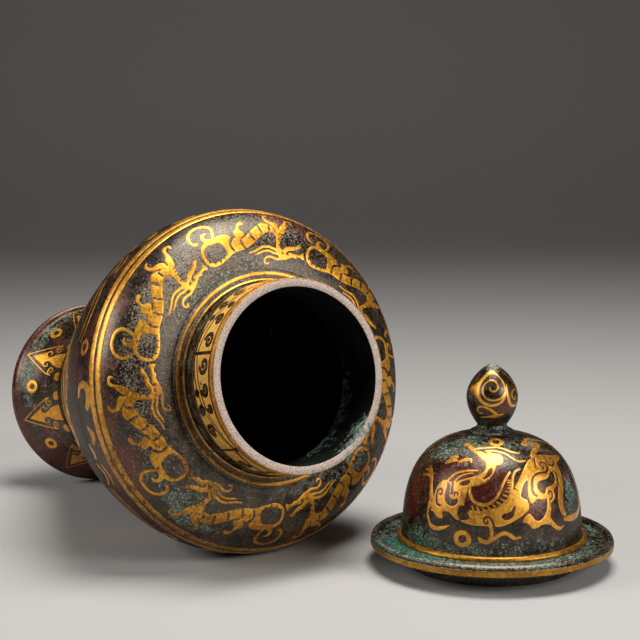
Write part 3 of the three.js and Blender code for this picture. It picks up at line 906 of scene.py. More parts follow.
@dataclass
class Casting:
    """What the jar and the lid share: a stand, a body and helpers that make their pieces."""

    body: Body
    stand: Stand
    bronze: bpy.types.Material
    band_gold: bpy.types.Material
    figure_gold: bpy.types.Material
    inside: bpy.types.Material
    tarnish: Sequence[Patch] = ()

    def piece(self, name: str, mesh: bpy.types.Mesh, slot: Slot, materials: Sequence[bpy.types.Material],
              node: Optional[str] = None) -> bpy.types.Object:
        """Puts a mesh in place and hands it to its body.

        Args:
            name: the piece's name.
            mesh: its mesh, about the casting's own axis.
            slot: the record's slot; not used.
            materials: its materials.
            node: the CAD node that it stands for.

        Returns:
            The piece.
        """
        write_points(mesh, self.stand.place(read_points(mesh)))
        mesh.shade_smooth()
        mesh.set_sharp_from_angle(angle=SHARP_ANGLE)
        for material in materials:
            mesh.materials.append(material)
        piece = bpy.data.objects.new(name, mesh)
        bpy.context.scene.collection.objects.link(piece)
        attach(piece, self.body.value)
        if node:
            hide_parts(node)
        LOG.info("%s: %d faces", name, len(mesh.polygons))
        return piece

    def corrode(self, mesh: bpy.types.Mesh, **kinds: Sequence[Patch]) -> None:
        """Stores for each vertex of a mesh how much crust, oxide, dust and painted sheen, and tarnish and
        painted shade it has.

        Args:
            mesh: the mesh, still about its own axis.
            kinds: the patches of each kind.
        """
        points = read_points(mesh)
        angle = np.degrees(np.arctan2(points[:, 1], points[:, 0]))
        for name, patches in kinds.items():
            total = sum((patch.amount(angle, points[:, 2]) for patch in patches), np.zeros(len(points)))
            write_amount(mesh, name, np.clip(total, -MOST_CORROSION, MOST_CORROSION))

    def band(self, name: str, curve: Curve, reach: Span, rise: float = 0.3) -> bpy.types.Object:
        """A gold ring let into a turned surface.

        Args:
            name: the CAD node that it stands for.
            curve: the surface's outline.
            reach: where it starts and ends along the outline.
            rise: how far it stands proud.

        Returns:
            The ring.
        """
        start, stop = reach
        slope = min(BAND_SLOPE, (stop - start) / 3.0)
        top = np.linspace(start + slope, stop - slope, 5)
        distance = np.hstack((start, start, top, stop, stop))
        offset = np.hstack((-BAND_SUNK, BAND_LIP, np.full(len(top), rise), BAND_LIP, -BAND_SUNK))
        mesh = turned(name, curve.at(distance, offset), closed=True)
        points = read_points(mesh)
        section = np.column_stack((np.hypot(points[:, 0], points[:, 1]), points[:, 2]))
        middle = curve.at(np.array(((start + stop) / 2.0,)), rise)[0]
        away = np.hypot(*(middle - section).T)
        write_amount(mesh, "inset", np.clip((stop - start) / 2.0 - away, 0.0, None) + BAND_INSET)
        self.corrode(mesh, tarnish=self.tarnish)
        return self.piece(f"{name}_gold", mesh, Slot.GOLD_BAND, (self.band_gold,), name)

    def figure(self, name: str, flat: bpy.types.Mesh, seat: Seat, node: Optional[str] = None,
               gold: Optional[bpy.types.Material] = None) -> bpy.types.Object:
        """A copy of a flat figure bent onto the casting.

        Args:
            name: the piece's name.
            flat: the flat figure.
            seat: where it goes.
            node: the CAD node that it stands for.
            gold: its gold, if not the figures' own.

        Returns:
            The piece.
        """
        mesh = flat.copy()
        mesh.name = name
        write_points(mesh, seat.bend(read_points(mesh)))
        self.corrode(mesh, tarnish=self.tarnish)
        return self.piece(name, mesh, Slot.GOLD_FIGURE, (gold or self.figure_gold,), node)


# Gold figures, in millimetres

DRAGON = Figure(
    plates=(
        # body with its legs, neck and head
        soft((-0.8, 8.4), (2.5, 8.6), (5.6, 8.4), (9.0, 8.9), (12.5, 8.4), (14.5, 7.2), (15.4, 5.6),
             (16.6, 4.7), (18.6, 4.6), (18.2, 6.6), (18.2, 8.8), (20.4, 9.9), (22.0, 12.0), (23.2, 14.2),
             (25.6, 15.3), (27.2, 14.5), (26.6, 12.5), (24.4, 12.6), (23.0, 10.6), (23.2, 8.8), (24.8, 7.2),
             (25.2, 5.0), (29.5, 7.6), (33.5, 10.6), (37.5, 13.5), (39.8, 14.4), (43.0, 13.4), (41.6, 15.6),
             (41.0, 18.2), (41.2, 20.4), (42.4, 21.8), (44.5, 22.1), (44.5, 20.9), (43.1, 20.3),
             (42.8, 18.6), (43.6, 16.9), (45.6, 16.2), (47.8, 15.4), (49.6, 13.2), (52.4, 15.8),
             (53.6, 18.2), (54.6, 20.2), (56.6, 21.0), (58.6, 20.6), (59.4, 19.0), (59.0, 17.1),
             (58.0, 17.0), (57.6, 18.8), (56.2, 19.0), (55.2, 17.4), (54.6, 14.4), (54.0, 11.8), (52.6, 9.0),
             (51.6, 6.6), (50.0, 4.8), (49.2, 2.8), (48.2, 0.8), (47.8, -1.2), (48.8, -2.8), (50.6, -2.6),
             (51.8, -1.4), (54.0, -0.4), (57.5, 0.2), (60.0, 1.2), (61.4, 2.5), (63.7, 2.2), (63.5, 0.9),
             (62.0, 0.0), (60.0, -1.3), (57.6, -2.4), (55.0, -3.2), (57.0, -4.0), (60.5, -3.8), (63.0, -3.4),
             (64.4, -2.4), (65.2, -1.0), (66.0, -2.6), (66.9, -4.6), (66.4, -6.1), (64.0, -5.3),
             (61.6, -5.6), (60.6, -6.8), (57.8, -6.6), (55.0, -8.0), (51.5, -9.4), (48.5, -9.6),
             (46.5, -7.6), (44.8, -4.8), (45.0, -1.0), (45.6, 2.5), (45.6, 5.0), (44.2, 6.8), (42.0, 7.2),
             (39.8, 6.6), (36.5, 4.6), (32.5, 2.0), (28.5, -0.6), (24.5, -2.2), (20.5, -3.4), (15.0, -3.8),
             (10.5, -4.6), (8.4, -3.8), (8.6, -1.5), (8.2, 1.0), (7.2, 3.6), (5.6, 4.9), (3.0, 5.0),
             (0.2, 5.4), (-1.6, 6.8)),
    ),
    strokes=(
        # tail ring, tail scroll and the comma inside it
        ((-0.6, 6.8, 2.6), (-3.4, 6.0, 2.2), (-6.0, 3.8, 2.0), (-7.3, 1.0, 2.0), (-7.4, -1.8, 2.3),
         (-6.2, -4.5, 2.5), (-3.2, -6.0, 2.5), (0.5, -6.3, 2.3), (4.5, -5.6, 2.1), (8.5, -4.5, 2.3),
         (11.0, -3.2, 2.4)),
        ((-5.2, 9.7, 1.2), (-6.7, 9.7, 2.0), (-8.0, 11.7, 1.8), (-7.2, 15.5, 1.9), (-4.5, 18.6, 1.9),
         (0.0, 20.0, 2.1), (4.5, 19.1, 2.1), (7.0, 16.5, 2.1), (7.1, 13.5, 1.8), (5.8, 10.2, 1.6),
         (4.4, 7.6, 2.0)),
        ((2.9, 13.2, 0.9), (0.8, 13.0, 1.8), (-0.5, 11.2, 2.2), (-0.2, 9.0, 3.0), (1.8, 7.2, 3.4)),
        # whiskers
        ((46.4, -4.4, 2.2), (43.0, -3.3, 1.8), (39.0, -2.4, 1.7), (35.0, -2.7, 1.6), (31.5, -4.0, 1.5),
         (28.0, -5.2, 1.3), (24.0, -5.7, 1.0)),
        ((47.4, -6.4, 1.8), (43.0, -6.0, 1.6), (39.0, -5.0, 1.5), (35.0, -5.3, 1.4), (31.5, -6.4, 1.2),
         (28.6, -7.1, 0.9)),
        ((49.8, -8.6, 2.0), (45.5, -9.6, 1.8), (42.0, -8.9, 1.6), (39.0, -8.5, 1.6), (36.4, -9.4, 1.5),
         (35.0, -10.9, 1.4), (35.4, -12.3, 1.4), (36.9, -12.9, 1.3), (38.4, -12.1, 1.2)),
    ),
    cuts=(
        # stripes across the body
        ((15.4, 4.3, 1.5), (13.6, 2.6, 1.4), (12.8, 0.2, 1.2), (13.8, -2.6, 1.2)),
        ((20.8, 2.1, 1.1), (21.2, -0.4, 1.3), (22.2, -2.3, 1.0)),
        ((28.8, 6.0, 1.0), (29.0, 4.0, 1.2), (30.4, 2.2, 1.2)),
        ((35.6, 11.0, 1.2), (36.2, 8.8, 1.4), (36.8, 6.8, 1.2)),
        ((42.8, 11.6, 1.0), (42.4, 9.2, 1.2)),
        # lines that part the legs from the body
        ((22.0, 3.6, 0.7), (25.4, 5.0, 0.9)),
        ((42.2, 14.4, 0.7), (44.8, 12.3, 0.7)),
        ((49.6, 13.4, 0.8), (49.1, 10.6, 0.6)),
        # hairs on the back of the neck
        ((52.2, 7.0, 0.8), (49.4, 6.6, 0.5)),
        ((51.2, 5.0, 0.8), (48.6, 5.0, 0.5)),
        ((49.8, 2.6, 0.8), (47.6, 3.0, 0.5)),
        ((48.6, -0.8, 0.7), (46.8, -0.4, 0.5)),
        # mouth, eye and the teeth of the tail ring
        ((55.2, -3.4, 0.9), (53.0, -5.0, 0.8), (54.4, -5.8, 0.6)),
        ((49.6, -5.4, 1.0), (50.6, -5.2, 0.7)),
        ((-5.0, -3.0, 0.9), (-6.4, -3.6, 0.6)),
        ((-2.2, -4.6, 0.9), (-2.8, -5.9, 0.6)),
        ((1.4, -5.0, 0.9), (1.4, -6.2, 0.6)),
        ((5.0, -4.3, 0.9), (5.4, -5.4, 0.6)),
    ),
)

BEAST = Figure(
    plates=(
        # head, neck and the neck's far strand
        soft((-30.6, 39.6), (-28.2, 39.5), (-24.4, 39.2), (-21.4, 39.4), (-19.0, 40.8), (-15.4, 42.1),
             (-11.5, 43.2), (-8.0, 44.6), (-5.6, 46.2), (-4.4, 48.2), (-4.0, 50.6), (-4.6, 53.6),
             (0.0, 55.0), (4.4, 53.0), (2.8, 49.2), (1.4, 46.0), (-0.4, 43.2), (-2.4, 41.2), (-5.4, 39.4),
             (-9.0, 38.0), (-12.8, 36.8), (-14.0, 33.4), (-14.8, 29.0), (-14.8, 26.8), (-16.4, 26.9),
             (-18.0, 25.2), (-18.3, 22.6), (-17.4, 20.4), (-16.4, 18.9), (-18.6, 18.8), (-20.0, 19.8),
             (-22.0, 21.4), (-24.0, 22.4), (-26.4, 22.4), (-27.4, 21.4), (-26.6, 19.2), (-27.8, 18.1),
             (-30.0, 18.4), (-31.8, 19.4), (-33.6, 20.9), (-36.0, 21.4), (-37.6, 24.0), (-37.2, 28.0),
             (-35.0, 30.0), (-34.3, 33.0), (-33.6, 36.6)),
        # breast and body up to the haunch
        soft((-16.6, 18.9), (-13.6, 19.2), (-11.4, 20.4), (-12.2, 22.8), (-11.0, 24.8), (-6.4, 24.6),
             (-4.0, 25.2), (-1.0, 26.0), (2.0, 26.6), (4.5, 27.8), (6.6, 29.8), (9.0, 32.2), (10.4, 34.6),
             (12.0, 36.2), (14.0, 38.4), (16.0, 40.8), (18.4, 43.6), (21.0, 46.6), (23.6, 49.2),
             (26.0, 51.2), (28.6, 52.8), (31.4, 53.8), (34.4, 55.2), (38.0, 55.8), (43.0, 55.2),
             (48.0, 54.2), (54.0, 52.8), (60.0, 51.6), (66.0, 50.4), (66.4, 48.2), (60.0, 47.6),
             (55.0, 47.2), (52.6, 45.4), (51.0, 42.0), (47.4, 42.6), (45.8, 39.4), (44.2, 36.0),
             (41.4, 34.5), (39.2, 33.4), (39.7, 31.4), (39.2, 29.4), (37.4, 27.8), (35.4, 26.6),
             (34.6, 25.3), (35.0, 23.6), (34.2, 21.8), (33.7, 19.6), (34.8, 17.4), (36.6, 15.4),
             (38.6, 13.7), (40.4, 13.2), (43.6, 13.6), (42.4, 11.9), (39.6, 10.8), (37.0, 11.6),
             (35.0, 13.2), (33.2, 14.8), (31.0, 15.6), (28.0, 15.8), (25.0, 14.6), (22.6, 14.2),
             (21.0, 15.0), (20.2, 16.5), (18.6, 17.6), (16.4, 18.4), (17.2, 20.4), (18.8, 22.1),
             (20.6, 22.6), (22.0, 21.4), (23.6, 19.3), (25.6, 18.2), (28.2, 19.2), (30.4, 21.4),
             (31.8, 24.2), (32.6, 27.4), (32.6, 29.4), (30.0, 29.2), (26.4, 30.0), (24.4, 28.4),
             (22.6, 27.5), (21.5, 28.4), (20.9, 30.8), (20.2, 29.8), (20.9, 27.4), (20.6, 25.2),
             (19.0, 23.6), (16.0, 21.4), (13.0, 19.8), (10.0, 18.2), (7.0, 17.0), (4.0, 16.3), (0.5, 16.4),
             (-5.6, 16.6), (-9.0, 16.6), (-12.0, 17.0), (-15.2, 17.8)),
    ),
    holes=(
        # dark crescent before the haunch, the lobe in the haunch and the drop in the body
        soft((16.9, 32.0), (17.0, 34.0), (18.2, 37.0), (20.0, 39.4), (22.0, 40.9), (21.6, 38.4),
             (20.9, 35.4), (20.6, 33.0), (20.6, 31.0), (19.4, 30.6)),
        soft((28.4, 37.4), (29.4, 39.2), (32.0, 39.9), (36.0, 40.1), (39.0, 41.2), (41.2, 42.9),
             (42.8, 43.7), (44.2, 42.4), (44.1, 40.2), (42.6, 38.0), (40.0, 36.5), (37.4, 35.9),
             (35.0, 35.9), (33.4, 34.6), (32.4, 32.8), (30.8, 32.8), (29.2, 34.0), (28.4, 35.6)),
        soft((5.4, 22.0), (6.4, 23.3), (8.6, 23.8), (10.6, 24.6), (11.8, 26.6), (12.9, 27.4), (12.4, 24.6),
             (11.4, 22.0), (9.6, 20.4), (7.4, 20.1), (5.8, 20.8)),
        # hollow of the face, ear and the drop between the strands of the neck
        soft((-27.4, 38.6), (-26.6, 36.0), (-27.0, 32.4), (-26.8, 29.6), (-25.6, 27.2), (-22.6, 25.7),
             (-20.0, 26.4), (-18.7, 28.4), (-19.2, 30.2), (-20.6, 29.6), (-22.0, 29.4), (-23.8, 30.0),
             (-24.6, 31.4), (-24.8, 34.0), (-25.2, 37.0)),
        soft((-24.0, 38.4), (-22.8, 38.2), (-22.6, 35.6), (-22.0, 32.8), (-22.8, 31.8), (-23.8, 34.0)),
        soft((-18.8, 38.2), (-18.4, 39.6), (-16.0, 40.4), (-13.6, 41.2), (-12.9, 40.0), (-14.6, 38.4),
             (-17.0, 37.7)),
        soft((-5.4, 42.0), (-3.8, 44.2), (-2.4, 46.8), (-0.6, 48.6), (0.4, 48.4), (0.4, 46.2), (-1.0, 44.2),
             (-3.2, 42.6)),
    ),
    strokes=(
        # raised forefoot and its toes
        ((-49.0, 42.6, 1.4), (-45.0, 42.6, 2.6), (-41.6, 40.4, 3.0), (-39.6, 36.4, 2.4), (-38.0, 32.4, 2.6),
         (-36.6, 28.0, 3.0), (-35.8, 24.0, 3.2)),
        ((-47.0, 44.6, 1.2), (-43.5, 43.4, 1.4)),
        ((-49.4, 39.2, 1.6), (-45.4, 40.0, 1.8), (-42.0, 39.6, 1.8)),
        # lower jaw
        ((-37.4, 25.0, 1.8), (-37.4, 21.0, 1.7), (-36.6, 17.0, 1.9), (-35.2, 14.0, 2.1), (-33.0, 12.5, 2.5),
         (-30.0, 12.2, 2.4), (-26.6, 13.1, 1.9), (-24.4, 14.1, 1.3), (-22.6, 15.0, 0.7)),
        # foreleg and its toes
        ((-4.0, 17.6, 2.0), (-0.8, 17.4, 2.4), (0.2, 14.5, 2.0), (0.2, 11.5, 2.0), (-0.4, 9.2, 2.5),
         (-2.2, 7.8, 2.5), (-4.6, 8.4, 2.5), (-6.2, 9.8, 1.8)),
        ((-0.6, 8.6, 2.2), (2.2, 10.4, 2.0), (4.6, 12.2, 2.3), (7.0, 12.9, 2.3), (9.6, 11.6, 2.1),
         (12.0, 9.8, 2.0), (15.0, 10.2, 1.2)),
        # mane line and the fringe of the comb
        ((-12.4, 37.0, 1.5), (-12.0, 33.6, 1.8), (-10.4, 30.6, 2.0), (-7.6, 28.6, 2.0), (-4.0, 28.0, 1.9),
         (-0.6, 29.2, 1.8), (2.4, 31.8, 1.7), (4.6, 35.2, 1.6), (6.6, 39.2, 1.5), (9.0, 43.0, 1.5),
         (12.0, 46.2, 1.5)),
        ((10.6, 35.0, 1.8), (12.0, 38.5, 1.7), (12.6, 41.5, 1.6), (14.0, 44.6, 1.5), (16.2, 46.8, 1.5),
         (19.4, 47.8, 1.4)),
        # horns
        ((-28.0, 39.0, 1.8), (-26.0, 41.8, 1.7), (-23.6, 44.0, 1.7), (-20.8, 45.3, 1.6), (-17.0, 46.2, 1.5),
         (-13.0, 46.7, 1.3), (-9.0, 46.9, 1.0)),
        ((-22.6, 39.4, 1.4), (-20.6, 42.2, 1.3), (-17.6, 43.9, 1.2), (-14.4, 44.9, 1.0),
         (-11.8, 45.3, 0.8)),
        # wing and its feathers
        ((-31.0, 65.8, 3.0), (-26.0, 65.2, 3.4), (-20.0, 62.8, 3.6), (-14.0, 60.6, 4.2), (-9.0, 58.6, 5.6),
         (-4.0, 57.0, 8.0), (1.0, 55.2, 9.4), (5.0, 55.0, 8.6)),
        ((-17.0, 62.6, 2.2), (-11.0, 63.8, 1.9), (-5.0, 64.6, 1.9), (5.0, 65.0, 1.9), (11.0, 63.7, 1.9),
         (17.0, 60.9, 1.8), (22.0, 59.1, 1.6), (25.0, 58.7, 1.0)),
        ((-7.0, 60.8, 2.2), (0.0, 61.7, 1.8), (7.0, 60.9, 1.8), (13.0, 58.5, 1.8), (16.0, 56.0, 1.8),
         (19.0, 53.5, 1.7), (22.0, 52.5, 1.5), (26.4, 52.8, 1.0)),
        # claw patch before the wing
        ((-34.8, 49.4, 1.6), (-31.5, 51.4, 3.2), (-28.5, 52.2, 2.6), (-26.2, 51.6, 1.2)),
        ((-24.5, 51.4, 2.2), (-20.5, 53.2, 3.0), (-16.5, 53.6, 2.4), (-15.4, 52.0, 1.6)),
        ((-33.6, 53.2, 1.4), (-30.0, 54.4, 1.8), (-27.0, 54.2, 1.2)),
        # zigzag behind the wing
        ((34.5, 55.6, 2.5), (39.0, 57.6, 3.4), (45.0, 59.4, 3.8), (51.0, 61.0, 4.0), (55.5, 62.6, 3.6),
         (50.0, 64.0, 3.4), (43.0, 65.2, 3.4), (37.0, 65.6, 2.6), (40.0, 66.9, 2.2), (45.0, 67.4, 2.2),
         (51.0, 68.2, 1.4)),
        # tail and the strand under it
        ((50.6, 46.5, 6.0), (50.0, 42.0, 5.0), (48.4, 37.6, 4.6), (45.8, 33.0, 4.4), (43.6, 28.6, 4.2),
         (42.7, 24.5, 4.0), (43.4, 21.0, 3.6), (44.8, 19.0, 2.6)),
        ((44.4, 16.4, 2.4), (48.0, 16.0, 3.6), (52.0, 15.6, 4.0), (57.0, 15.6, 3.6), (62.0, 16.8, 3.0),
         (66.6, 20.0, 2.6), (69.0, 25.6, 2.4), (69.4, 32.0, 2.2), (68.0, 38.0, 1.6)),
        # long feather above the haunch
        ((50.0, 69.4, 1.6), (58.0, 68.4, 2.0), (66.0, 65.6, 2.2), (73.0, 61.4, 2.2), (78.0, 56.0, 2.0),
         (81.0, 50.0, 1.4)),
    ),
    cuts=(
        # scroll of the snout
        ((-29.4, 25.0, 1.2), (-31.2, 25.3, 1.0), (-32.5, 27.5, 0.9), (-33.0, 30.5, 0.9), (-32.5, 33.2, 0.9),
         (-31.0, 34.1, 0.9), (-29.7, 32.9, 0.8), (-30.0, 31.1, 0.7), (-31.3, 30.9, 0.6)),
        # hook of the cheek and the line between jaw and forefoot
        ((-20.9, 31.4, 0.7), (-21.2, 32.8, 0.7), (-20.0, 33.4, 0.7), (-18.9, 32.4, 0.6)),
        ((-35.6, 23.0, 0.6), (-36.4, 20.0, 0.6), (-36.0, 18.0, 0.6)),
        # line round the foreleg and its scroll
        ((-2.0, 19.5, 0.6), (-1.8, 18.5, 0.7), (-2.9, 18.1, 0.8), (-3.9, 19.4, 0.9), (-3.4, 21.1, 0.9),
         (-1.8, 21.7, 0.9), (-0.2, 20.7, 0.9), (0.9, 18.4, 0.9), (1.5, 15.6, 0.9), (1.6, 13.0, 0.9)),
        # line round the haunch and its scroll
        ((26.4, 31.7, 0.9), (24.7, 33.2, 1.2), (24.2, 35.6, 1.3), (24.8, 38.6, 1.3), (26.0, 41.3, 1.2),
         (28.0, 43.1, 1.1), (31.0, 44.1, 1.0), (35.0, 44.2, 1.0), (38.6, 44.2, 1.0), (41.0, 45.6, 1.0),
         (42.0, 47.6, 1.0), (41.3, 49.4, 1.0), (39.6, 50.3, 0.9), (37.6, 49.8, 0.8), (36.5, 48.2, 0.8),
         (36.9, 46.8, 0.7), (38.2, 46.6, 0.7), (38.8, 47.6, 0.6)),
        # scroll of the knee
        ((34.8, 28.5, 0.9), (36.6, 29.4, 0.8), (37.4, 31.2, 0.8), (37.0, 32.8, 0.8), (35.8, 33.2, 0.7),
         (35.3, 32.1, 0.6)),
        # scroll at the root of the tail and the line between it and the haunch
        ((43.6, 49.8, 0.8), (45.0, 47.6, 1.0), (47.4, 46.6, 1.0), (50.0, 47.2, 1.0), (52.0, 49.0, 1.0),
         (52.1, 50.6, 0.9), (50.6, 51.0, 0.8), (49.0, 50.0, 0.7), (49.0, 48.9, 0.6)),
        ((31.6, 47.6, 0.6), (33.2, 50.8, 0.9), (35.0, 53.4, 0.9)),
        ((44.8, 44.6, 0.5), (46.4, 41.4, 1.0), (45.4, 37.6, 1.2), (43.0, 33.6, 1.0)),
        # line between the feathers
        ((-15.0, 61.6, 0.9), (-9.0, 61.4, 1.1), (-4.4, 59.4, 0.7)),
        ((-5.0, 63.0, 0.8), (3.0, 63.3, 1.0), (9.0, 62.3, 0.8)),
    ),
)


def comb(count: int) -> tuple[Stroke, ...]:
    """The teeth of the beast's comb, which stand on its back.

    Args:
        count: number of teeth.

    Returns:
        The teeth.
    """
    root_width, tip_width = 1.3, 0.8
    edge = smooth(((-9.6, 25.0, 0.0), (-4.0, 25.3, 0.0), (2.0, 27.0, 0.0), (6.8, 30.4, 0.0),
                   (10.2, 34.8, 0.0), (12.0, 38.4, 0.0), (12.6, 41.4, 0.0)))
    along = np.linspace(0.0, len(edge) - 1.0, count)
    teeth = []
    for step in along:
        x, y = (float(np.interp(step, range(len(edge)), edge[:, axis])) for axis in (0, 1))
        share = step / along[-1]
        # towards the end of the comb the teeth lean further and stand lower
        tip = (x - 0.9 - 2.2 * share, y + 2.1 - 1.8 * share, tip_width)
        teeth.append(((x, y, root_width), tip))
    return tuple(teeth)


LID_BEAST = replace(BEAST, strokes=BEAST.strokes + comb(13), cell=0.4)
LOWER_BEAST = replace(BEAST, cell=0.6)

RING_DOT = Figure(strokes=(circle(0.0, 0.0, 3.5, 2.7),))

SPEAR_HALF: Outline = ((7.3, 0.8), (6.6, 6.0), (5.5, 12.0), (3.4, 15.4), (1.9, 18.2), (1.9, 20.2),
                       (2.8, 22.4), (5.8, 22.8), (4.6, 25.8), (2.4, 30.2))
FOOT_TRIANGLE = Figure(
    plates=((*SPEAR_HALF, (0.0, 34.8), *((-x, y) for x, y in reversed(SPEAR_HALF))),),
    strokes=(
        # hooks under the head of the spear
        *both(((5.2, 23.4, 1.2), (6.4, 21.2, 1.1), (6.0, 19.0, 1.1), (4.6, 18.6, 1.0), (4.0, 19.8, 0.9))),
        # lines round the spear, with their scrolls
        *both(((0.0, 39.8, 1.0), (6.0, 29.0, 1.0), (12.4, 17.2, 1.1), (13.4, 13.4, 1.2))),
        *both(spiral(9.8, 13.0, 3.7, 1.5, 0.0, 1.3)),
        # lobes on the waist
        *both(((14.8, 2.0, 7.4), (14.8, 3.8, 7.2))),
    ),
)

BELLY_MARKS = Figure(
    strokes=(
        circle(0.0, 0.0, 3.6, 2.6),
        # pair of long lines
        ((-42.0, -8.0, 2.2), (-32.0, -3.6, 2.6), (-22.0, -2.6, 2.6), (-12.0, -4.4, 2.4),
         (-4.0, -9.0, 1.6)),
        ((-42.0, -15.0, 2.0), (-32.0, -10.4, 2.2), (-22.0, -9.4, 2.2), (-12.0, -11.4, 2.0),
         (-5.0, -15.6, 1.4)),
        # hook
        ((27.0, -7.0, 3.6), (23.0, -4.6, 4.0), (21.0, 0.0, 4.2), (22.0, 4.6, 4.8), (25.6, 7.0, 5.6),
         (30.0, 6.6, 5.6), (34.0, 4.0, 4.0)),
        # leaves
        ((45.6, 0.0, 2.6), (50.0, 3.4, 5.0), (54.6, 1.4, 2.6)),
        ((56.6, -7.0, 3.0), (61.0, -4.4, 4.6), (64.0, -5.6, 2.4)),
        # curls
        ((-60.0, -8.0, 2.2), (-54.0, -3.0, 2.6), (-48.6, -5.6, 2.2), (-46.0, -10.0, 1.6)),
        ((-60.0, -0.6, 1.8), (-54.0, 2.4, 2.2), (-47.0, 0.6, 1.6)),
    ),
)


class Half(Enum):
    """The two halves of a neck panel."""

    MOUTH = "mouth_side"
    BELLY = "belly_side"


def panel(half: Half, mirrored: bool) -> Figure:
    """One half of a neck panel with its cut scrolls.

    Args:
        half: which half.
        mirrored: whether the panel is turned over.

    Returns:
        The figure, from the middle of the panel.
    """
    flip = 1.0 if mirrored else -1.0
    turns, least_width, wider = 1.35, 1.3, 0.3
    if half is Half.MOUTH:
        first = 110.0
        outlines = (((27.9, 0.1), (-27.4, 0.1), (-27.4, 1.6), (27.9, 14.2)),)
        scrolls = ((22.0, 5.6, 4.7), (8.9, 4.9, 3.9), (-1.6, 3.6, 2.7))
        lines = ()
    else:
        first = -70.0
        outlines = (((-27.9, 2.6), (-27.9, 3.0), (16.8, 15.3), (27.9, 16.4), (27.9, 15.2)),
                    ((-27.9, 4.0), (-27.9, 16.6), (17.6, 16.6)))
        scrolls = ((-15.8, 11.9, 4.3), (-3.3, 13.0, 3.3), (6.6, 14.2, 2.0))
        lines = (((-27.6, 17.7, 0.5), (27.6, 17.7, 0.5)),)
    angle = first if mirrored else 180.0 - first
    return Figure(plates=tuple(tuple((flip * x, y) for x, y in outline) for outline in outlines),
                  strokes=tuple(tuple((flip * x, y, width) for x, y, width in line) for line in lines),
                  cuts=tuple(spiral(flip * x, y, radius, flip * turns, angle, wider * radius + least_width)
                             for x, y, radius in scrolls),
                  cell=0.4)


BUD_SCROLL = Figure(
    plates=(soft((-7.4, 6.6), (-9.6, 3.4), (-12.4, 0.4), (-15.4, -1.2), (-15.6, -3.4), (-12.0, -4.4),
                 (-9.2, -6.4), (-6.4, -8.8), (-8.0, -3.0), (-8.2, 2.0)),),
    strokes=(
        # ring with the lobe on its left
        ((1.0, 9.4, 3.0), (-3.4, 8.8, 3.4), (-6.6, 5.8, 3.2), (-8.4, 1.0, 2.6), (-8.0, -4.4, 2.4),
         (-5.4, -8.6, 2.2), (0.0, -10.6, 1.9), (5.2, -8.8, 1.6), (8.2, -4.0, 1.5), (8.4, 1.6, 1.5),
         (6.0, 6.6, 1.7), (1.0, 9.4, 2.4)),
        # scroll inside the ring
        ((8.0, -3.6, 1.4), (5.4, -6.4, 1.3), (1.2, -7.6, 1.3), (-3.0, -6.4, 1.3), (-5.2, -2.6, 1.4),
         (-4.4, 1.8, 1.4), (-0.8, 4.0, 1.4), (2.6, 3.0, 1.4), (3.8, 0.0, 1.4), (2.2, -2.4, 1.3),
         (-0.4, -2.2, 1.3), (-1.0, -0.2, 1.1)),
    ),
)
SMALL_SCROLL = Figure(
    strokes=(
        ((-4.0, 7.0, 1.2), (-4.6, 1.0, 1.8), (-2.8, -4.4, 2.0), (2.0, -6.0, 1.5), (5.0, -4.4, 1.0)),
        ((5.0, 0.6, 1.1), (2.6, 3.4, 1.2), (-0.6, 2.6, 1.2), (-1.4, -0.4, 1.2), (0.8, -2.0, 1.1),
         (2.2, -0.4, 1.0)),
        ((5.0, 0.6, 1.1), (4.4, 7.0, 1.3), (1.6, 12.0, 1.2), (-2.4, 16.0, 0.9)),
    ),
)
LOW_SCROLL = Figure(
    strokes=(
        ((-6.4, -3.6, 1.0), (-2.0, -3.2, 1.2), (3.6, -2.4, 2.4), (8.4, -1.4, 1.0)),
        ((4.6, -1.8, 2.2), (0.4, 1.6, 1.7), (-4.0, 3.4, 1.4), (-7.4, 2.0, 1.4), (-7.0, -0.8, 1.3),
         (-4.8, -0.8, 1.1)),
    ),
)


# Corrosion, dust with painted sheen and shade, and tarnish with painted shade, by angle and height on each
# casting

JAR_GREEN = (
    Patch(0.0, 262.0, ALL_ROUND, 4.0, 0.45), Patch(0.0, 267.0, ALL_ROUND, 4.0, 0.45),
    Patch(200.0, 263.0, 30.0, 6.0, 0.6), Patch(303.0, 252.0, 22.0, 7.0, 0.6),
    Patch(322.0, 250.0, 14.0, 7.0, 0.8), Patch(285.0, 28.0, 60.0, 16.0, 0.7),
    Patch(240.0, 13.0, 60.0, 5.0, 0.9), Patch(225.0, 256.0, 20.0, 4.0, 0.6),
    Patch(20.0, 252.0, 60.0, 14.0, 0.25), Patch(44.0, 287.0, 24.0, 8.0, 1.3),
    Patch(60.0, 262.0, 40.0, 10.0, 0.7), Patch(110.0, 120.0, 40.0, 30.0, 0.5),
    Patch(190.0, 100.0, 60.0, 20.0, 0.45),
)
JAR_RED = (
    Patch(265.0, 215.0, 40.0, 22.0, 0.15), Patch(300.0, 246.0, 16.0, 7.0, 0.7),
    Patch(320.0, 20.0, 60.0, 26.0, 0.6), Patch(0.0, 2.5, ALL_ROUND, 4.0, 1.4),
    Patch(330.0, 222.0, 40.0, 12.0, 0.5), Patch(95.0, 232.0, 40.0, 20.0, 0.6),
    Patch(150.0, 160.0, 50.0, 30.0, 0.35), Patch(238.0, 238.0, 14.0, 8.0, 0.6),
    Patch(285.0, 237.0, 18.0, 11.0, 0.9), Patch(160.0, 246.0, 16.0, 8.0, 0.8),
)
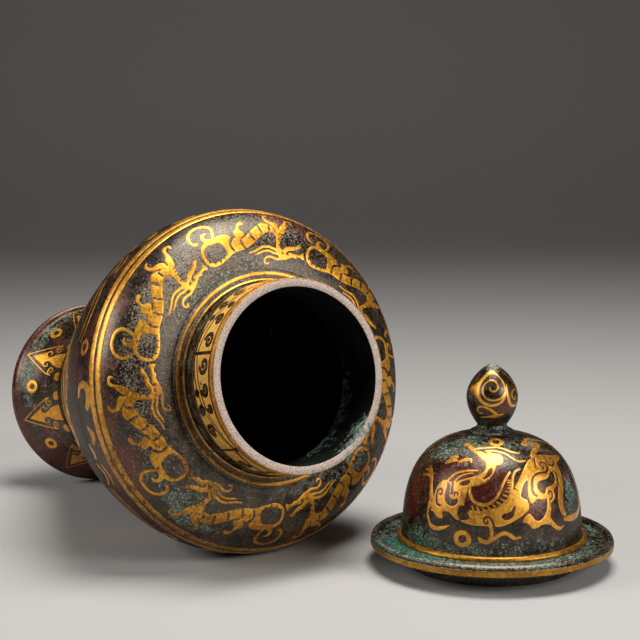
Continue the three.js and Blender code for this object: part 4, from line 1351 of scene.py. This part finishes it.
# Dust on the jar; the strong patches high on the shoulder at 225 and 180 degrees are also a painted sheen of
# the top lamp, and the negative patches on the right shoulder and the left side are painted shade.
JAR_DUST_AND_SHEEN = (
    Patch(225.0, 256.0, 45.0, 7.0, 0.8), Patch(180.0, 249.0, 32.0, 9.0, 0.8),
    Patch(208.0, 9.0, 42.0, 1.6, 1.4), Patch(290.0, 254.0, 50.0, 5.0, 0.5),
    Patch(255.0, 243.0, 14.0, 8.0, 0.2), Patch(0.0, 254.0, ALL_ROUND, 8.0, 0.3),
    Patch(35.0, 240.0, 60.0, 30.0, -0.7), Patch(268.0, 238.0, 30.0, 14.0, -0.6),
    Patch(270.0, 205.0, 60.0, 24.0, -0.7),
)
# Tarnish on the jar's gold; the patches at 322, 290 and 268 degrees, on the lower left of the shoulder, the
# belly bands and the ledge rings, are painted shade, and the ring round the rim is tarnish.
JAR_TARNISH_AND_SHADE = (
    Patch(322.0, 245.0, 45.0, 40.0, 0.9), Patch(290.0, 237.0, 14.0, 7.0, 0.4),
    Patch(268.0, 261.0, 45.0, 3.0, 0.75), Patch(0.0, 293.0, ALL_ROUND, 1.2, 0.8),
)
LID_GREEN = (
    Patch(0.0, 14.8, ALL_ROUND, 1.3, 0.6), Patch(-95.0, 24.0, 30.0, 14.0, 1.0),
    Patch(-60.0, 20.0, 60.0, 5.0, 0.6), Patch(-80.0, 70.0, 45.0, 9.0, 1.1),
    Patch(10.0, 74.0, 60.0, 6.0, 0.9), Patch(26.0, 44.0, 9.0, 10.0, 1.5),
    Patch(150.0, 40.0, 40.0, 20.0, 0.6), Patch(-40.0, 8.0, ALL_ROUND, 6.0, 1.0),
    Patch(-10.0, 24.0, 40.0, 7.0, 0.7),
)
LID_RED = (
    Patch(-36.0, 52.0, 22.0, 14.0, 1.4), Patch(-66.0, 66.0, 18.0, 8.0, 1.4),
    Patch(-110.0, 48.0, 20.0, 18.0, 0.6), Patch(10.0, 66.0, 20.0, 8.0, 0.8),
    Patch(-8.0, 44.0, 20.0, 14.0, 0.9), Patch(144.0, 52.0, 30.0, 16.0, 0.9),
    Patch(0.0, 26.0, 16.0, 6.0, 0.5),
)
# Dust on the lid; the patches on the bead and the front of the flange are also a painted sheen of the top
# lamp.
LID_DUST_AND_SHEEN = (
    Patch(0.0, 17.2, ALL_ROUND, 1.2, 0.5), Patch(-34.0, 17.2, 42.0, 1.2, 0.9),
    Patch(-45.0, 15.0, 50.0, 2.0, 0.6), Patch(-70.0, 72.0, 60.0, 6.0, 0.5),
)


# Sub-assemblies


@dataclass
class Jar(Casting):
    """The jar: casting, gold rings and gold figures. Sizes are in millimetres from the foot's plane."""

    tarnish: Sequence[Patch] = JAR_TARNISH_AND_SHADE
    panel_gold_painted_light: Optional[bpy.types.Material] = None
    rim: Optional[bpy.types.Material] = None
    height: float = 292.5
    wall: float = 4.5
    foot_radius: float = 63.0
    waist_radius: float = 46.8
    waist_height: float = 46.0
    belly_radius: float = 102.0
    belly_height: float = 225.0
    ledge_radius: float = 63.4
    ledge_height: float = 260.7
    neck_radius: float = 55.7
    mouth_radius: float = 55.0
    mouth_wall: float = 5.0
    neck_root: float = 257.0
    inner_margin: float = 2.6
    belly_bands: Sequence[Span] = ((8.2, 12.1), (13.7, 17.6))
    ledge_ring: Span = (1.8, 4.1)
    belly_lines: Sequence[Span] = ((0.0, 1.3), (3.2, 4.5))
    belly_lines_height: float = 84.0
    dragons: int = 7
    dragon_angle: float = 303.5
    dragon_radius: float = 85.0
    dragon_rise: float = 15.6
    panels: int = 6
    panel_angle: float = 281.0
    panel_drop: float = 4.9
    triangles: int = 8
    triangle_angle: float = 238.8
    triangle_radius: float = 58.0
    foot_dot_angle: float = 261.3
    foot_dot_drop: float = 29.3
    beasts: int = 4
    beast_angle: float = 262.0
    beast_radius: float = 80.0
    beast_rise: float = 150.0
    marks: int = 5
    mark_angle: float = 254.0
    mark_drop: float = 0.5

    def __post_init__(self) -> None:
        """Draws the outlines."""
        shoulder_top = self.ledge_height - 1.4
        self.flare = Curve(((61.8, 5.5), (58.3, 12.5), (self.waist_radius, 28.0),
                            (self.waist_radius, self.waist_height)))
        self.lower = Curve(((self.waist_radius, self.waist_height), (self.waist_radius, 62.0),
                            (self.belly_radius, 185.0), (self.belly_radius, self.belly_height)))
        self.shoulder = Curve(((self.belly_radius, self.belly_height), (self.belly_radius, 247.4),
                               (self.ledge_radius + 23.0, shoulder_top), (self.ledge_radius, shoulder_top)))
        self.side = Curve(*self.lower.pieces, *self.shoulder.pieces)
        self.ledge = Curve(((self.ledge_radius, self.ledge_height), (self.neck_radius, self.ledge_height)))
        self.neck = Curve(((self.neck_radius, self.ledge_height), (self.mouth_radius, self.height)))

    def build(self) -> None:
        """Makes every piece of the jar."""
        self.casting()
        self.rings()
        self.figures()

    def casting(self) -> None:
        """Spins the casting and marks its rim, and its hidden faces, which get the inside's painted shade."""
        foot, ledge, step = self.foot_radius, self.ledge_radius, self.ledge_height
        neck, mouth, top = self.neck_radius, self.mouth_radius, self.height
        bore = mouth - self.mouth_wall
        section = np.vstack((
            # hollow of the foot and the foot ring
            ((0.0, 41.0), (30.0, 41.0), (39.0, 40.4)),
            self.flare.spread(14, -self.wall, 0.25, 0.84)[::-1],
            ((57.0, 0.5), (57.4, 0.0), (foot - 0.8, 0.0), (foot - 0.2, 0.2), (foot, 0.8), (foot, 4.0),
             (foot - 0.2, 4.8)),
            # outside
            self.flare.spread(40),
            self.lower.spread(110)[1:],
            self.shoulder.spread(60)[1:],
            ((ledge, step - 0.9), (ledge - 0.1, step - 0.2), (ledge - 0.8, step), (neck + 0.8, step),
             (neck + 0.2, step + 0.2), (neck, step + 0.8)),
            self.neck.spread(14)[1:-1],
            # rim
            ((mouth, top - 0.5), (mouth - 0.15, top - 0.15), (mouth - 0.5, top), (bore + 0.6, top),
             (bore + 0.15, top - 0.2), (bore, top - 0.7)),
            # inside
            ((bore, 275.0), (bore, 258.0), (bore + 1.0, 255.4), (bore + 4.0, 254.8)),
            self.shoulder.spread(24, -self.wall, 0.0, 0.85)[::-1],
            self.lower.spread(40, -self.wall, 0.05, 0.99)[::-1],
            ((37.8, 46.4), (34.0, 46.0), (0.0, 46.0)),
        ))
        mesh = turned("jar_casting", section)
        self.corrode(mesh, green=JAR_GREEN, red=JAR_RED, dust=JAR_DUST_AND_SHEEN)
        outline = np.vstack((self.flare.path, self.lower.path, self.shoulder.path))
        bore_face, rim_face = bore + 0.5, top - 0.3
        for face in mesh.polygons:
            x, y, z = face.center
            hidden = bore_face
            if z < self.neck_root:
                hidden = np.interp(z, outline[:, 1], outline[:, 0]) - self.inner_margin
            if z > rim_face:
                face.material_index = 1
            elif math.hypot(x, y) < hidden:
                face.material_index = 2
        self.piece("jar_casting", mesh, Slot.JAR_BRONZE, (self.bronze, self.rim, self.inside), "jar_body")

    def rings(self) -> None:
        """Lays the gold rings."""
        for i, reach in enumerate(self.belly_bands, 1):
            self.band(f"belly_band_{i}", self.shoulder, reach)
        self.band("ledge_ring", self.ledge, self.ledge_ring)
        neck, step = self.neck_radius, self.ledge_height
        root = Curve(((neck + 1.9, step), (neck + 0.7, step + 1.2)))
        self.band("neck_ring", root, (0.1, root.length - 0.1), 0.25)
        mouth, top = self.mouth_radius, self.height
        lip = Curve(((mouth + 0.1, top - 3.6), (mouth, top - 1.0)),
                    ((mouth, top - 1.0), (mouth, top - 0.3), (mouth - 0.2, top), (mouth - 0.5, top)))
        self.band("rim_band", lip, (0.0, lip.length), 0.15)
        rise = (self.belly_lines_height - self.waist_height) / (self.belly_height - self.waist_height)
        start = self.lower.length * rise
        for i, (low, high) in enumerate(self.belly_lines, 1):
            self.band(f"lower_belly_line_{i}", self.lower, (start + low, start + high))

    def figures(self) -> None:
        """Lays the dragons, the neck panels, the foot's figures and those of the lower belly."""
        dragon = DRAGON.flat("dragon_flat")
        start = self.shoulder.length - self.dragon_rise
        seats = Seat(self.shoulder, self.dragon_radius, self.dragon_angle, start, -1).around(self.dragons, -1)
        for i, seat in enumerate(seats, 1):
            self.figure(f"dragon_{i}", dragon, seat, f"shoulder_dragon_{i}")

        start = self.neck.length - self.panel_drop
        seats = Seat(self.neck, self.mouth_radius, self.panel_angle, start, -1).around(self.panels)
        for half in Half:
            flats = [panel(half, mirrored).flat(f"panel_{half.value}") for mirrored in (False, True)]
            for i, seat in enumerate(seats, 1):
                name = f"panel_{i}_{half.value}"
                self.figure(name, flats[i % 2], seat, f"neck_{name}", self.panel_gold_painted_light)

        triangle = FOOT_TRIANGLE.flat("triangle_flat")
        dot = RING_DOT.flat("dot_flat")
        start = self.flare.length
        seats = Seat(self.flare, self.triangle_radius, self.triangle_angle, start, -1).around(self.triangles)
        for i, seat in enumerate(seats, 1):
            self.figure(f"triangle_{i}", triangle, seat, f"foot_triangle_{i}")
            between = replace(seat, angle=seat.angle + self.foot_dot_angle - self.triangle_angle,
                              start=start - self.foot_dot_drop)
            self.figure(f"ring_dot_{i}", dot, between, f"foot_dot_{i}")

        beast = LOWER_BEAST.flat("lower_beast_flat")
        seats = Seat(self.lower, self.beast_radius, self.beast_angle, self.beast_rise, -1).around(self.beasts)
        for i, seat in enumerate(seats, 1):
            self.figure(f"lower_beast_{i}", beast, seat)

        marks = BELLY_MARKS.flat("belly_marks_flat")
        start = self.lower.length - self.mark_drop
        seats = Seat(self.side, self.belly_radius, self.mark_angle, start).around(self.marks)
        for i, seat in enumerate(seats, 1):
            self.figure(f"belly_marks_{i}", marks, seat)


@dataclass
class Lid(Casting):
    """The lid: shell, finial, gold rings and figures. Sizes are in millimetres from the collar's plane."""

    collar_radius: float = 48.5
    collar_inner: float = 44.5
    collar_height: float = 11.0
    flange_radius: float = 69.4
    flange_top: float = 15.2
    dome_radius: float = 51.4
    dome_foot: float = 17.8
    crown: float = 76.8
    wall: float = 4.0
    dome_root: float = 16.0
    collar_middle: float = 46.0
    finial_gap: float = 0.3
    bud_height: float = 39.0
    edge_band: Span = (0.6, 3.6)
    beasts: int = 2
    beast_angle: float = -38.7
    beast_radius: float = 48.0
    low_dot_angle: float = -56.5
    low_dot_rise: float = 8.7
    crown_dot_angle: float = -32.0
    crown_dot_radius: float = 22.0
    crown_dot_rise: float = 71.0
    scroll_radius: float = 14.0

    def __post_init__(self) -> None:
        """Draws the outlines."""
        self.dome = Curve(((self.dome_radius, self.dome_foot), (self.dome_radius, self.dome_foot + 42.0),
                           (36.0, self.crown), (0.0, self.crown)))
        self.edge = Curve(((self.flange_radius, self.collar_height), (self.flange_radius, self.flange_top)))
        self.finial_foot = low = self.crown + self.finial_gap
        self.bud = Curve(((8.4, low + 3.8), (11.2, low + 7.6), (14.6, low + 13.0), (14.6, low + 20.0)),
                         ((14.6, low + 20.0), (14.6, low + 27.0), (7.6, low + 36.4),
                          (0.0, low + self.bud_height)))

    def build(self) -> None:
        """Makes every piece of the lid."""
        self.shell()
        self.finial()
        self.rings()
        self.figures()

    def shell(self) -> None:
        """Spins the shell and marks its hidden faces, which get the inside's painted shade."""
        inner, collar, under = self.collar_inner, self.collar_radius, self.collar_height
        flange, top, dome = self.flange_radius, self.flange_top, self.dome_radius
        bead = Curve(((flange - 0.4, top + 0.4), (flange - 0.4, top + 2.5), (flange - 4.0, top + 2.7),
                      (flange - 4.6, top)))
        section = np.vstack((
            # inside and collar
            ((0.0, self.crown - self.wall),),
            self.dome.spread(40, -self.wall, 0.08, 0.95)[::-1],
            ((inner + 1.0, under + 4.0), (inner, under), (inner, 0.4), (inner + 0.4, 0.0),
             (collar - 0.4, 0.0), (collar, 0.4), (collar, under - 0.4), (collar + 0.4, under)),
            # flange with its bead and the groove under it
            ((flange - 0.4, under), (flange, under + 0.4), (flange, top - 0.5), (flange - 1.0, top - 0.1),
             (flange - 1.0, top + 0.2)),
            bead.spread(14),
            ((flange - 5.0, top - 0.7), (flange - 6.4, top - 0.8), (flange - 7.0, top - 0.3),
             (dome + 3.0, top), (dome + 0.6, top + 0.4), (dome, top + 1.2)),
            self.dome.spread(80),
        ))
        mesh = turned("lid_shell_casting", section)
        self.corrode(mesh, green=LID_GREEN, red=LID_RED, dust=LID_DUST_AND_SHEEN)
        outline = self.dome.path
        half_wall = self.wall / 2.0
        for face in mesh.polygons:
            x, y, z = face.center
            hidden = self.collar_middle
            if z > self.dome_root:
                hidden = np.interp(z, outline[:, 1], outline[:, 0]) - half_wall
            if math.hypot(x, y) < hidden and z < self.crown - half_wall:
                face.material_index = 1
        self.piece("lid_casting", mesh, Slot.LID_BRONZE, (self.bronze, self.inside), "lid_shell")

    def finial(self) -> None:
        """Spins the finial."""
        low = self.finial_foot
        top = low + self.bud_height
        section = np.vstack((
            ((0.0, low - 1.2), (12.8, low - 1.2), (13.0, low - 0.5), (12.3, low + 0.4), (10.8, low + 1.1),
             (9.3, low + 2.0), (8.5, low + 3.0)),
            self.bud.spread(70),
        ))
        mesh = turned("finial_casting", section, steps=96)
        green = (Patch(0.0, top, ALL_ROUND, 5.0, 1.1), Patch(0.0, low + 3.0, ALL_ROUND, 5.0, 1.0),
                 Patch(0.0, low + 22.0, ALL_ROUND, 9.0, 0.5))
        red = (Patch(0.0, low + 12.0, 60.0, 6.0, 0.5), Patch(-20.0, low + 18.0, 40.0, 7.0, 0.6))
        self.corrode(mesh, green=green, red=red, dust=(Patch(0.0, top, ALL_ROUND, 4.0, 1.2),))
        self.piece("lid_bud", mesh, Slot.LID_BRONZE, (self.bronze,), "lid_finial")

    def rings(self) -> None:
        """Lays the gold rings."""
        self.band("lid_edge_band", self.edge, self.edge_band, 0.15)
        dome, low = self.dome_radius, self.flange_top
        foot = Curve(((dome + 2.8, low), (dome + 2.8, low + 1.7), (dome + 1.8, low + 2.6),
                      (dome + 0.2, low + 2.6)))
        self.band("lid_dome_band", foot, (0.2, foot.length - 0.2), 0.15)

    def figures(self) -> None:
        """Lays the beasts, the ring dots and the scrolls of the bud."""
        beast = LID_BEAST.flat("beast_flat")
        dot = RING_DOT.flat("lid_dot_flat")
        seats = (Seat(self.dome, self.beast_radius, self.beast_angle, 0.0),
                 Seat(self.dome, self.beast_radius, self.low_dot_angle, self.low_dot_rise),
                 Seat(self.dome, self.crown_dot_radius, self.crown_dot_angle, self.crown_dot_rise))
        rounds = zip(*(seat.around(self.beasts) for seat in seats))
        for i, (beast_seat, low_seat, crown_seat) in enumerate(rounds, 1):
            self.figure(f"beast_{i}", beast, beast_seat, f"lid_beast_{i}")
            self.figure(f"low_dot_{i}", dot, low_seat, f"lid_dot_{i}")
            self.figure(f"crown_dot_{i}", dot, crown_seat, f"lid_crown_dot_{i}")

        # each scroll with its angle and its height above the finial's foot
        scrolls = ((BUD_SCROLL, -40.0, 27.2), (SMALL_SCROLL, 18.0, 21.5), (LOW_SCROLL, -44.0, 12.8))
        for kind, (drawing, angle, height) in enumerate(scrolls, 1):
            flat = drawing.flat(f"bud_scroll_{kind}_flat")
            start = self.bud.rise_to(self.finial_foot + height)
            for i, seat in enumerate(Seat(self.bud, self.scroll_radius, angle, start).around(self.beasts), 1):
                self.figure(f"bud_scroll_{kind}_{i}", flat, seat)


# Stage


@dataclass(frozen=True)
class Lamp:
    """A square soft box: where it stands, its size in metres, its power and where it points."""

    name: str
    place: Place
    size: float
    power: float
    aim: Place = (0.02, -0.02, 0.1)
    color: Color = (1.0, 0.97, 0.93)

    def build(self) -> None:
        """Makes the lamp."""
        light = bpy.data.lights.new(self.name, "AREA")
        light.size = self.size
        light.energy = self.power
        light.color = self.color
        lamp = bpy.data.objects.new(self.name, light)
        bpy.context.scene.collection.objects.link(lamp)
        aim = Vector(self.aim) - Vector(self.place)
        lamp.location = self.place
        lamp.rotation_euler = aim.to_track_quat("-Z", "Y").to_euler()


@dataclass
class Studio:
    """The camera, the ground, the soft boxes and the world."""

    eye: Place = (0.7873, -0.4538, 0.2474)
    heading: Point = (-0.849, 0.529)
    pitch: float = 7.29
    roll: float = -0.49
    lens: float = 83.0
    sensor: float = 36.0
    half_width: float = 4.0
    sky: Color = (0.72, 0.72, 0.73)
    sky_strength: float = 0.06
    lamps: Sequence[Lamp] = (
        Lamp("top_box", (0.14, 0.14, 1.35), 0.65, 21.0),
        Lamp("right_box", (1.42, 0.54, 0.72), 0.60, 13.0),
        Lamp("left_box", (-0.35, -1.30, 0.80), 0.60, 10.5),
    )

    def build(self) -> None:
        """Makes the stage."""
        self.camera()
        self.ground()
        for lamp in self.lamps:
            lamp.build()
        self.world()

    def camera(self) -> None:
        """Stands the camera at the photograph's viewing angle."""
        data = bpy.data.cameras.new("camera")
        data.lens = self.lens
        data.sensor_width = self.sensor
        data.clip_start = 0.01
        camera = bpy.data.objects.new("camera", data)
        bpy.context.scene.collection.objects.link(camera)
        drop = math.radians(self.pitch)
        flat = Vector((*self.heading, 0.0)).normalized() * math.cos(drop)
        ahead = Vector((flat.x, flat.y, -math.sin(drop)))
        turn = ahead.to_track_quat("-Z", "Y").to_matrix().to_4x4()
        roll = Matrix.Rotation(math.radians(self.roll), 4, "Z")
        camera.matrix_world = Matrix.Translation(self.eye) @ turn @ roll
        bpy.context.scene.camera = camera

    def ground(self) -> None:
        """Makes a wide pale floor that curves up into a backdrop behind the object."""
        near, bend, back, rise, top = -2.4, 2.2, 3.6, 1.4, 3.4
        sweep = Curve(((near, 0.0), (bend, 0.0)), ((bend, 0.0), (3.2, 0.0), (back, 0.4), (back, rise)),
                      ((back, rise), (back, top))).spread(60)
        ahead = Vector(self.heading).normalized()
        side = Vector((-ahead.y, ahead.x)) * self.half_width
        bm = bmesh.new()
        line = [bm.verts.new((*(ahead * away - side), height)) for away, height in sweep]
        edges = [bm.edges.new(pair) for pair in zip(line, line[1:])]
        grown = bmesh.ops.extrude_edge_only(bm, edges=edges)["geom"]
        far_side = [vert for vert in grown if isinstance(vert, bmesh.types.BMVert)]
        bmesh.ops.translate(bm, vec=(*(side * 2.0), 0.0), verts=far_side)
        mesh = close(bm, "floor")
        mesh.shade_smooth()
        mesh.materials.append(PaleFloor().build())
        floor = bpy.data.objects.new("floor", mesh)
        bpy.context.scene.collection.objects.link(floor)

    def world(self) -> None:
        """Gives the world a plain pale grey."""
        world = bpy.data.worlds.new("studio")
        world.use_nodes = True
        back = world.node_tree.nodes["Background"]
        back.inputs["Color"].default_value = (*self.sky, 1.0)
        back.inputs["Strength"].default_value = self.sky_strength
        bpy.context.scene.world = world


# How far, in millimetres, each mount of the record lies from its casting's axis
FOOT_MOUNT_REACH = 60.0
COLLAR_MOUNT_REACH = 46.3


def stands() -> tuple[Stand, Stand]:
    """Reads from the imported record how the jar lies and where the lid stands.

    Returns:
        The stands of the jar and of the lid.
    """
    mounts = {mount["name"]: mount for mount in frame["record"]["mounts"]}
    foot, collar = mounts["foot_ring"], mounts["lid_collar"]
    x, y, z = (value / MM for value in foot["pos_m"])
    tilt = math.atan2(-foot["axis"][2], -foot["axis"][0])
    jar = Stand(tilt, (x, y + FOOT_MOUNT_REACH, z))
    x, y, z = (value / MM for value in collar["pos_m"])
    return jar, Stand(math.pi / 2.0, (x - COLLAR_MOUNT_REACH, y, z))


def main() -> None:
    """Builds the stage, the jar and the lid in order."""
    logging.basicConfig(level=logging.INFO, format="%(message)s")
    bpy.context.scene.view_settings.view_transform = "Standard"
    Studio().build()
    jar_stand, lid_stand = stands()
    band_gold = Gold("band_gold", bright=(0.92, 0.50, 0.09))
    old_gold = Gold("old_gold", bright=(0.52, 0.26, 0.030), deep=(0.31, 0.135, 0.018), wear=0.54, coat=0.1)
    figure_gold = Gold("figure_gold")
    # the neck panels get a brighter, less metallic copy of the gold: painted light standing for the lamp from
    # the left on them
    panel_gold_painted_light = Gold("panel_gold_painted_light", bright=(1.0, 0.60, 0.13), deep=(0.86, 0.42, 0.07), metallic=0.45)
    lid_gold = Gold("lid_gold", bright=(0.86, 0.43, 0.045), deep=(0.60, 0.25, 0.028), coat=0.8)
    inside = InsidePaintedShade().build()
    Jar(Body.JAR, jar_stand, Patina("jar_patina").build(), band_gold.build(), figure_gold.build(), inside,
        panel_gold_painted_light=panel_gold_painted_light.build(), rim=WornRim().build()).build()
    Lid(Body.LID, lid_stand, Patina("lid_patina").build(), old_gold.build(), lid_gold.build(), inside).build()


if __name__ == "__main__":
    main()
